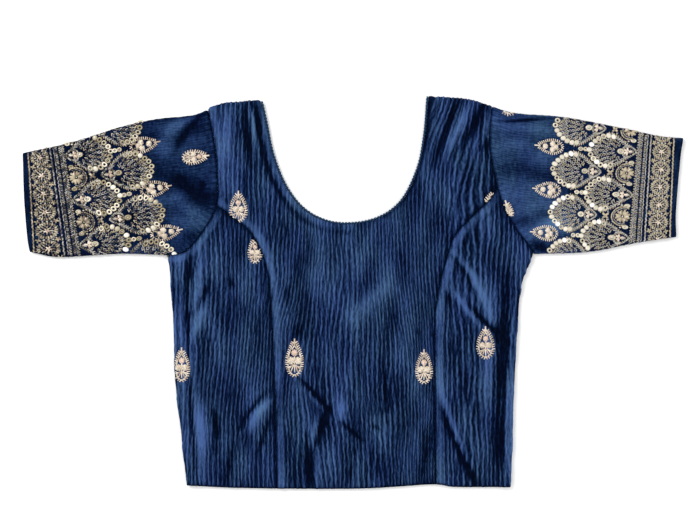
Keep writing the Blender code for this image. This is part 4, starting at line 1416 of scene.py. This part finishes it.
def rim_sequins(work, spot, edge, focus):
    """Cupped sequins side by side round the broad end of a leaf."""
    run = along(edge[::-1])
    places = [(edge[-1, 0], 0.0)]
    for distance in np.arange(5.8, 33.0, 5.4):
        forward, aside = (np.interp(distance, run, edge[::-1, k]) for k in (0, 1))
        places += [(forward, aside), (forward, -aside)]
    for forward, aside in places:
        angle = math.atan2(aside, forward - focus)
        place = (forward - 2.2 * math.cos(angle), aside - 2.2 * math.sin(angle))
        kind = str(work.draw.choice(["ring", "cup", "pale_glint"], p=work.sequin_shares))
        work.spot(kind, spot(*place), direction(spot, *place, angle), 5.9, 5.4)
        tail = (place[0] - 3.6 * math.cos(angle), place[1] - 3.6 * math.sin(angle))
        end = (tail[0] - 2.6 * math.cos(angle), tail[1] - 2.6 * math.sin(angle))
        work.stitch("gold", spot(*tail), spot(*end), 1.0)
        if work.draw.uniform() < 0.3:
            work.spot("bead", spot(*place), direction(spot, *place, angle), 1.7, 1.5)


def palmette_base(work, spot, focus):
    """The pointed arch at a leaf's base, with a small flower and an oval sequin in it."""
    arch = teardrop(14, 12.5) * (-1, 1) + (6.0, 0)
    for half, out in ((arch, 1), (mirrored(arch), -1)):
        stitched_line(work, "silver", spot, half, 1.9, 1.3, 4 * out, 1.4)
        stitched_line(work, "gold", spot, half, 1.9, 1.5, 70 * out, 0.8)
    rays(work, "silver", spot, (1.5, 0), (1.0, 4.6), (-22, 0, 22), 1.0)
    rays(work, "peach", spot, (7.6, 0), (0.6, 3.7), (-75, -35, 35, 75, 180), 2.1)
    work.spot("ring", spot(focus - 0.6, 0), direction(spot, 0, 0, 0), 7.2, 5.8)
    work.spot("bead", spot(focus - 0.6, 0), direction(spot, 0, 0, 0), 3.4, 2.6)


def satin_dot(work, kind, spot, middle, radius):
    """A round dot of overlapping stitches."""
    rays(work, kind, spot, middle, (-0.5 * radius, radius), circle_of(9), 0.62 * radius)


def leaf_drop(work, spot, length=30.0, width=16.0):
    """A pointed drop: a spiky edge round a three-lobed bud and a dot."""
    edge = teardrop(length - 4, width - 4.0)
    work.stitch("peach", spot(length / 2 - 5.0, 0), spot(length / 2 + 1.5, 0), 1.5)
    for half, out in ((edge, 1), (mirrored(edge), -1)):
        stitched_line(work, "peach", spot, half, 2.0, 2.4, 80 * out, 1.05)
        stitched_line(work, "gold", spot, half, 2.0, 1.7, 0, 0.7)
    for side in (-1, 1):
        satin_dot(work, "cream", spot, (-3.0, 3.0 * side), 2.7)
        rays(work, "gold", spot, (-8.5, 2.4 * side), (0.2, 2.2), (20, 90, 200, 270), 1.0)
    satin_dot(work, "peach", spot, (-6.4, 0), 2.4)
    satin_dot(work, "cream", spot, (4.8, 0), 2.7)


def butta_motif(work, spot, length, width):
    """A filled teardrop: spiky edge, fanned base, a pair of lobes and a round dot below its point."""
    unit = length / 34.0
    edge = teardrop(length - 5, width - 6.5)
    work.stitch("peach", spot(length / 2 - 6.5, 0), spot(length / 2 + 0.5, 0), 1.7)
    for half, out in ((edge, 1), (mirrored(edge), -1)):
        stitched_line(work, "peach", spot, half, 2.05, 3.0, 74 * out, 1.15)
        stitched_line(work, "cream", spot, half, 2.3, 1.9, 30 * out, 1.0)
    for side in (-1, 1):
        satin_dot(work, "cream", spot, (-2.4 * unit, 3.2 * side * unit), 3.2 * unit)
        rays(work, "peach", spot, (11.5 * unit, 0), (0.2, 4.6 * unit), (180 + 30 * side,), 1.2)
    satin_dot(work, "rose", spot, (4.6 * unit, 0), 2.8 * unit)
    rays(work, "peach", spot, (-2.5 * unit, 0), (1.0, 4.0), (0, 180), 1.6)
    rays(work, "peach", spot, (-4.5 * unit, 0), (2.0, 8.2 * unit), (138, 159, 180, 201, 222), 1.25)
    rays(work, "cream", spot, (-6.0 * unit, 0), (3.4 * unit, 6.4 * unit), (112, 248), 1.3)


def border(work, row, pitch, stretch):
    """The whole worked border of a sleeve, all the way round it."""
    grow = pitch / LEFT_PITCH
    low, high = BORDER_LOW, BORDER_HIGH
    chain(work, row, 0.0, low, high, "gold", 1.5)
    chain(work, row, 22.5, low, high, "silver", 1.5)
    ladder(work, row, low, high)
    picot_row(work, row, 34.8, low, high)
    rosette_pitch = ROSETTE_PITCH * grow
    for number in range(-9, 8):
        across = rosette_pitch * number - 1.5
        medallion(work, frame_at(11.2, across, grow=grow))
        beside_it = frame_at(11.2, across + rosette_pitch / 2, grow=grow)
        floret(work, beside_it, -7.4)
        floret(work, beside_it, 8.0, 5)
        for forward in (-3.0, 0.8, 4.4):
            work.spot("bead", beside_it(forward, 0), (1, 0), 1.8, 1.6)
    for number in range(-4, 4):
        flower_under_arc(work, frame_at(43.8, pitch * (number + 0.5), grow=grow))
        spot = frame_at(37.0, pitch * number, grow=grow, stretch=stretch)
        palmette(work, spot, 47.0, 35.0, 14.5, 2)
        spot = frame_at(68.5, pitch * (number + 0.5), grow=grow, stretch=stretch)
        palmette(work, spot, 52.0, 37.0, 17.0, 0)
        leaf_drop(work, frame_at(116.5 * stretch, pitch * number, grow=grow))


class SleeveCloth:
    """Where the border lies on a laid sleeve, on its front and, past the top fold, on its underside."""

    def __init__(self, side, tube, guides):
        self.top = spline(side.sleeve_top)
        self.guides = np.array(guides, float)
        self.tree = surface_tree(tube)

    def flat(self, spots):
        """Places seen from above as if the sleeve were opened at its top fold."""
        reach, across = np.asarray(spots).T
        rows = [np.interp(reach, self.guides[:, 0], self.guides[:, k]) for k in (1, 2, 3, 4)]
        top = np.column_stack(rows[:2])
        way = np.column_stack(rows[2:]) - top
        return top + way * (across / np.hypot(*way.T))[:, None]

    def lay(self, spots):
        """Places on the cloth, its outward directions there, and which layer each is on."""
        flat = self.flat(spots)
        _, nearest, _ = near_curve(flat, self.top)
        beyond = (flat - nearest)[:, 1] > 0
        flat = np.where(beyond[:, None], 2 * nearest - flat, flat)
        return dropped(self.tree, flat, beyond)


class BodyCloth:
    """Where a motif lies on a panel, seen from above, or from below for the back."""

    def __init__(self, panel, below=False):
        self.tree = surface_tree(panel)
        self.below = below

    def lay(self, spots):
        return dropped(self.tree, np.asarray(spots), np.full(len(spots), self.below))


def surface_tree(piece):
    """A search tree of a piece's faces, in millimetres."""
    mesh = piece.data
    points = np.empty(len(mesh.vertices) * 3, np.float32)
    mesh.vertices.foreach_get("co", points)
    faces = [tuple(face.vertices) for face in mesh.polygons]
    return BVHTree.FromPolygons((points.reshape(-1, 3) / MM).tolist(), faces)


def dropped(tree, flat, below):
    """Places dropped on the cloth from above, or raised to it from below, which lean a little with it."""
    places = np.full((len(flat), 3), np.nan)
    ups = np.zeros((len(flat), 3))
    for number, ((x, y), under) in enumerate(zip(flat, below)):
        start = Vector((x, y, BELOW_ALL if under else ABOVE_ALL))
        hit, normal, _, _ = tree.ray_cast(start, Vector((0, 0, 1 if under else -1)))
        if hit is not None:
            places[number] = hit
            ups[number] = normal * CLOTH_LEAN + Vector((0, 0, -1 if under else 1))
    return places, ups, below


KINDS = {
    "gold": ("stitch", "gold_thread", 0.6),
    "silver": ("stitch", "silver_thread", 0.6),
    "peach": ("stitch", "peach_thread", 0.6),
    "cream": ("stitch", "peach_thread", 0.65),
    "rose": ("stitch", "peach_thread", 0.65),
    "bead": ("bead", "sequin", 0.5),
    "cup": ("disc", "sequin", 0.12),
    "ring": ("ring", "sequin", 0.5),
    # Pale sequins, their near-white colour partly a painted glint.
    "pale_glint": ("disc", "sequin", 0.12),
}


def laid_work(name, work, cloth, trees, finishes):
    """Lays the stitches of each kind on the cloth, one piece for each, and returns the pieces."""
    made = []
    for kind, rows in work.rows.items():
        rows = np.array(rows)
        starts, ups, first = cloth.lay(rows[:, 0:2])
        ends, ups_end, second = cloth.lay(rows[:, 2:4])
        whole = np.isfinite(starts[:, 0]) & np.isfinite(ends[:, 0]) & (first == second)
        lengths = np.linalg.norm(ends - starts, axis=1)
        flat_lengths = np.hypot(*(rows[:, 2:4] - rows[:, 0:2]).T)
        whole &= lengths < 1.6 * flat_lengths + 0.8
        if not whole.any():
            continue
        shape, slot, rise = KINDS[kind]
        middle = (starts + ends)[whole] / 2
        up = (ups + ups_end)[whole] / 2
        width = rows[whole, 4]
        sizes = np.column_stack([lengths[whole] + 0.3, width, width])
        piece = scattered(f"{name}_{kind}", trees[shape], middle + up * STITCH_RISE,
                          (ends - starts)[whole], up, sizes, rows[whole, 5],
                          finishes[kind], rise)
        piece["slot"] = slot
        made.append(piece)
    return made


def edging_path(front):
    """The middle line of the neck edging, with the cloth's outward direction along it."""
    piece = CentrePiece()
    curve = beside(spline(NECK), -EDGING_WIDTH / 2)
    left_top, right_top = piece.edge_at(curve[[0, -1], 0])
    lowest = int(np.argmin(curve[:, 1]))
    left, right = curve[:lowest + 1], curve[lowest:]
    if not front:
        down = SHOULDER_TURN + SEAM_BEHIND + SEAM_GAP
        left = between(left, left[-1, 1], left_top - down)[::-1]
        right = between(right, right[0, 1], right_top - down)[1:]
        flat = spaced(np.vstack([left, right]), EDGING_STEP)
        path = np.column_stack([flat, np.full(len(flat), BACK_REST)])
        return path, np.tile((0.0, 0.0, -1.0), (len(path), 1))
    middle = np.vstack([
        between(left, left[-1, 1], left_top - 2 * SHOULDER_TURN)[::-1],
        between(right, right[0, 1], right_top - 2 * SHOULDER_TURN)[1:],
    ])
    ends = []
    for half, top in ((left, left_top), (right, right_top)):
        start = top - SHOULDER_TURN
        turn = start + math.pi * SHOULDER_TURN * np.linspace(0, 1, 7)
        under = piece.under(between(half, start - SEAM_BEHIND, start)[::-1])
        under = spaced(under, EDGING_STEP)[1:]
        bend = np.column_stack([np.full(len(turn), x_at(half, start)), turn])
        ends.append(np.vstack([bend, under]))
    pattern = np.vstack([ends[0][::-1], spaced(middle, EDGING_STEP), ends[1]])
    path, _ = piece.place(pattern[:, 0], pattern[:, 1])
    return path, facing(piece, pattern)


def edging(name, front, finish, tree):
    """The neck edging: a corded edge, and the row of small loops that stands out from it."""
    path, ups = edging_path(front)
    way = np.gradient(path, axis=0)
    way /= np.linalg.norm(way, axis=1)[:, None]
    aside = np.cross(ups, way)
    sides = 8
    points, faces = [], []
    for number in range(len(path)):
        for step in range(sides):
            angle = 2 * math.pi * step / sides
            points.append(path[number] + aside[number] * EDGING_WIDTH / 2 * math.cos(angle)
                          + ups[number] * EDGING_HEIGHT / 2 * math.sin(angle))
    for number in range(len(path) - 1):
        for step in range(sides):
            a = number * sides + step
            b = number * sides + (step + 1) % sides
            faces.append((a, b, b + sides, a + sides))
    last = (len(path) - 1) * sides
    faces.append(tuple(range(sides))[::-1])
    faces.append(tuple(last + step for step in range(sides)))
    cord = solid_mesh(name, points, faces)
    keep_values(cord.data, "tone", np.full(len(points), 0.5))
    cord.data.materials.append(finish)
    run = np.concatenate([[0], np.cumsum(np.linalg.norm(np.diff(path, axis=0), axis=1))])
    at = np.arange(PICOT_PITCH / 2, run[-1], PICOT_PITCH)
    loops = [np.column_stack([np.interp(at, run, rows[:, k]) for k in range(3)])
             for rows in (path, way, ups, aside)]
    sizes = np.tile((2.3, 1.7, 1.0), (len(at), 1))
    tones = 0.5 + 0.5 * np.sin(np.arange(len(at)) * 2.4)
    picots = scattered(f"{name}_picots", tree, loops[0] + loops[3] * 0.55, loops[1], loops[2],
                       sizes, tones, finish, 0.7)
    return cord, picots


def seam_threads(name, curves, tree, finish, panels):
    """Small stitches that cross the seams at the bottom of their grooves."""
    work = Work(5)
    for curve in curves:
        points = spaced(curve, 3.4)
        ways = np.gradient(points, axis=0)
        ways /= np.hypot(*ways.T)[:, None]
        for place, way in zip(points, ways):
            aside = np.array([-way[1], way[0]]) + 0.35 * way
            work.stitch("seam", place - 0.55 * aside, place + 0.55 * aside, 0.34)
    rows = np.array(work.rows["seam"])
    heights = np.full(len(rows), np.nan)
    for number, place in enumerate((rows[:, 0:2] + rows[:, 2:4]) / 2):
        found = [panel.ray_cast(Vector((*(place + shift), ABOVE_ALL)), Vector((0, 0, -1)))[0]
                 for panel in panels for shift in ((0.5, 0), (-0.5, 0), (0, 0.5))]
        levels = [hit[2] for hit in found if hit is not None]
        if levels:
            heights[number] = min(levels) + 0.02
    rows, heights = rows[np.isfinite(heights)], heights[np.isfinite(heights)]
    middle = np.column_stack([(rows[:, 0:2] + rows[:, 2:4]) / 2, heights])
    ways = np.column_stack([rows[:, 2:4] - rows[:, 0:2], np.zeros(len(rows))])
    sizes = np.tile((1.0, 0.3, 0.3), (len(rows), 1))
    ups = np.tile((0.0, 0.0, 1.0), (len(rows), 1))
    return scattered(name, tree, middle, ways, ups, sizes, rows[:, 5], finish, 0.8)


FINISH_NAMES = {
    "gold": "gold_thread", "silver": "silver_thread", "peach": "peach_thread",
    "cream": "cream_thread", "rose": "rose_thread", "cup": "sequin_cup",
    "ring": "sequin_ring", "pale_glint": "sequin_pale_glint",
}


def all_finishes():
    """The materials of every piece: a row of threads ends in roughness, sheen, metallic and shine."""
    # Colour ramps of the cloth, from the painted shade of the troughs to the painted light of the crests.
    body_shades = ((0.0, (0.0003, 0.0015, 0.007)), (0.22, (0.0014, 0.0062, 0.026)),
                   (0.45, (0.0105, 0.0262, 0.073)), (1.0, (0.058, 0.115, 0.25)))
    sleeve_shades = ((0.0, (0.0003, 0.0016, 0.008)), (0.22, (0.0016, 0.0066, 0.027)),
                     (0.45, (0.0095, 0.025, 0.07)), (1.0, (0.05, 0.105, 0.23)))
    finishes = {
        "crinkle_cloth": cloth_finish("crinkle_cloth", body_shades, (1300, 330, 1300)),
        "sleeve_cloth": cloth_finish("sleeve_cloth", sleeve_shades, (330, 1300, 1300)),
    }
    threads = (
        ("neck_edging", (0.005, 0.017, 0.045), (0.016, 0.05, 0.11), 0.8, 0.0, 0.0, 0.05),
        ("gold", (0.14, 0.11, 0.07), (0.5, 0.425, 0.29), 0.6, 0.05, 0.0, 0.5),
        ("silver", (0.03, 0.03, 0.032), (0.46, 0.44, 0.4), 0.6, 0.05, 0.0, 0.5),
        ("peach", (0.4, 0.31, 0.23), (0.78, 0.67, 0.56), 0.7, 0.05, 0.0, 0.5),
        ("cream", (0.48, 0.395, 0.3), (0.76, 0.67, 0.55), 0.7, 0.05, 0.0, 0.5),
        ("rose", (0.5, 0.36, 0.28), (0.76, 0.59, 0.49), 0.7, 0.05, 0.0, 0.5),
        ("cup", (0.4, 0.35, 0.25), (0.78, 0.73, 0.62), 0.3, 0.0, 0.1, 0.5),
        ("bead", (0.24, 0.2, 0.14), (0.7, 0.66, 0.58), 0.35, 0.0, 0.1, 0.5),
        ("ring", (0.3, 0.25, 0.15), (0.78, 0.71, 0.56), 0.3, 0.0, 0.25, 0.5),
        # Pale sequins, their near-white colour partly a painted glint.
        ("pale_glint", (0.7, 0.69, 0.65), (0.9, 0.9, 0.88), 0.2, 0.0, 0.1, 0.5),
        ("sewing_thread", (0.005, 0.015, 0.045), (0.009, 0.026, 0.07), 0.8, 0.0, 0.0, 0.05),
    )
    for kind, dark, light, roughness, sheen, metallic, shine in threads:
        name = FINISH_NAMES.get(kind, kind)
        finishes[kind] = thread_finish(name, dark, light, roughness, sheen, metallic, shine)
    return finishes


def kept(piece, slot, *nodes):
    """Rides a finished piece on the blouse and hides the model's parts that it stands for; its slot is
    not used.
    """
    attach(piece, "root")
    if nodes:
        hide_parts(*nodes)


def dress_cloth(finishes):
    """All the cloth pieces, by the name of the panel that each stands for."""
    seams = {
        "left": [spline(LEFT.princess), spline(LEFT.armhole)],
        "right": [spline(RIGHT.princess), spline(RIGHT.armhole)],
    }
    centre = CentrePiece()
    left, right = SidePiece(LEFT), SidePiece(RIGHT)
    outlines = {
        "front_centre": centre_outline(centre),
        "front_side_left": side_outline(left, LEFT),
        "front_side_right": side_outline(right, RIGHT),
        "back": back_outline(),
    }
    panels = {
        "front_centre": front_panel("front_centre_cloth", centre, outlines["front_centre"],
                                    seams["left"] + seams["right"]),
        "front_side_left": front_panel("front_side_left_cloth", left,
                                       outlines["front_side_left"], seams["left"]),
        "front_side_right": front_panel("front_side_right_cloth", right,
                                        outlines["front_side_right"], seams["right"]),
        "back": back_panel("back_cloth", outlines["back"]),
        "sleeve_left": sleeve("sleeve_left_cloth", LEFT),
        "sleeve_right": sleeve("sleeve_right_cloth", RIGHT),
    }
    for node, panel in panels.items():
        slot = "sleeve_cloth" if node.startswith("sleeve") else "crinkle_cloth"
        panel.data.materials.append(finishes[slot])
        kept(panel, slot, node)
    return panels, outlines


def embroider(panels, trees, finishes):
    """The worked borders of the sleeves and the teardrop motifs."""
    worked = {}
    plans = (
        # The right sleeve's work is lighter, with more pale sequins with a painted glint, and the left's
        # darker: painted light, lighter on the right.
        ("sleeve_left", LEFT, LEFT_GUIDES, LEFT_PITCH, 1.0, Work(20, -0.3, (0.85, 0.14, 0.01))),
        ("sleeve_right", RIGHT, RIGHT_GUIDES, RIGHT_PITCH, 1.06, Work(22, 0.4, (0.35, 0.5, 0.15))),
    )
    for node, side, guides, pitch, stretch, work in plans:
        cloth = SleeveCloth(side, panels[node], guides)
        border(work, lambda reach, across: np.array([reach, across]), pitch, stretch)
        worked[node] = laid_work(f"{node}_work", work, cloth, trees, finishes)
    for node in panels:
        chosen = [butta for butta in BUTTAS + BACK_BUTTAS if butta.panel == node]
        if not chosen:
            continue
        work = Work(seed=40)
        for butta in chosen:
            spot = frame_at(butta.x, butta.y, lean=90 + butta.lean)
            butta_motif(work, spot, butta.length, butta.width)
        cloth = BodyCloth(panels[node], below=node == "back")
        made = laid_work(f"{node}_buttas", work, cloth, trees, finishes)
        worked.setdefault(node, []).extend(made)
    for made in worked.values():
        for piece in made:
            kept(piece, piece["slot"])
    return worked


def add_floor():
    """A plain pale surface under the blouse."""
    mesh = bpy.data.meshes.new("floor")
    corners = [(x * FLOOR_HALF, y * FLOOR_HALF, FLOOR_HEIGHT)
               for x, y in ((-1, -1), (1, -1), (1, 1), (-1, 1))]
    mesh.from_pydata(corners, [], [(0, 1, 2, 3)])
    floor = bpy.data.objects.new("floor", mesh)
    bpy.context.scene.collection.objects.link(floor)
    material, tree, surface = surface_finish("pale_surface", roughness=0.9, shine=0.1)
    surface.inputs["Base Color"].default_value = (0.93, 0.93, 0.93, 1.0)
    mesh.materials.append(material)


def add_light():
    """Soft light all round, and one large soft light from the upper left."""
    world = bpy.data.worlds.new("soft_room")
    world.use_nodes = True
    backdrop = world.node_tree.nodes["Background"]
    backdrop.inputs["Color"].default_value = (1.0, 1.0, 1.0, 1.0)
    backdrop.inputs["Strength"].default_value = ROOM_LIGHT
    bpy.context.scene.world = world
    for name, place, size, power in LAMPS:
        lamp = bpy.data.lights.new(name, "AREA")
        lamp.size = size
        lamp.energy = power
        holder = bpy.data.objects.new(name, lamp)
        holder.location = place
        holder.rotation_mode = "QUATERNION"
        holder.rotation_quaternion = (-Vector(place)).to_track_quat("-Z", "Y")
        bpy.context.scene.collection.objects.link(holder)


def add_camera():
    """A camera straight above the blouse, with its width filling the photograph's frame."""
    camera = bpy.data.cameras.new("camera")
    camera.sensor_width = SENSOR
    camera.lens = SENSOR * CAMERA_HEIGHT / FRAME_WIDTH
    camera.clip_end = 10.0
    holder = bpy.data.objects.new("camera", camera)
    holder.location = (CAMERA_X * MM, CAMERA_Y * MM, (CAMERA_HEIGHT + FRONT_REST) * MM)
    bpy.context.scene.collection.objects.link(holder)
    bpy.context.scene.camera = holder
    bpy.context.scene.view_settings.view_transform = "Standard"


def main():
    add_camera()
    add_light()
    add_floor()
    finishes = all_finishes()
    trees = {shape: scatter_tree(f"{shape}_work", shape) for shape in ("stitch", "bead", "ring", "disc")}
    panels, outlines = dress_cloth(finishes)
    worked = embroider(panels, trees, finishes)
    for name, front in (("neck_edge_front", True), ("neck_edge_back", False)):
        cord, picots = edging(f"{name}_cord", front, finishes["neck_edging"], trees["ring"])
        kept(cord, "neck_edging", name)
        kept(picots, "neck_edging")
    curves = [spline(side.princess) for side in (LEFT, RIGHT)]
    curves += [spline(side.armhole)[6:-6] for side in (LEFT, RIGHT)]
    fronts = [surface_tree(panels[node]) for node in panels if node != "back"]
    threads = seam_threads("seam_stitches", curves, trees["stitch"], finishes["sewing_thread"],
                           fronts)
    kept(threads, "sewing_thread")


main()
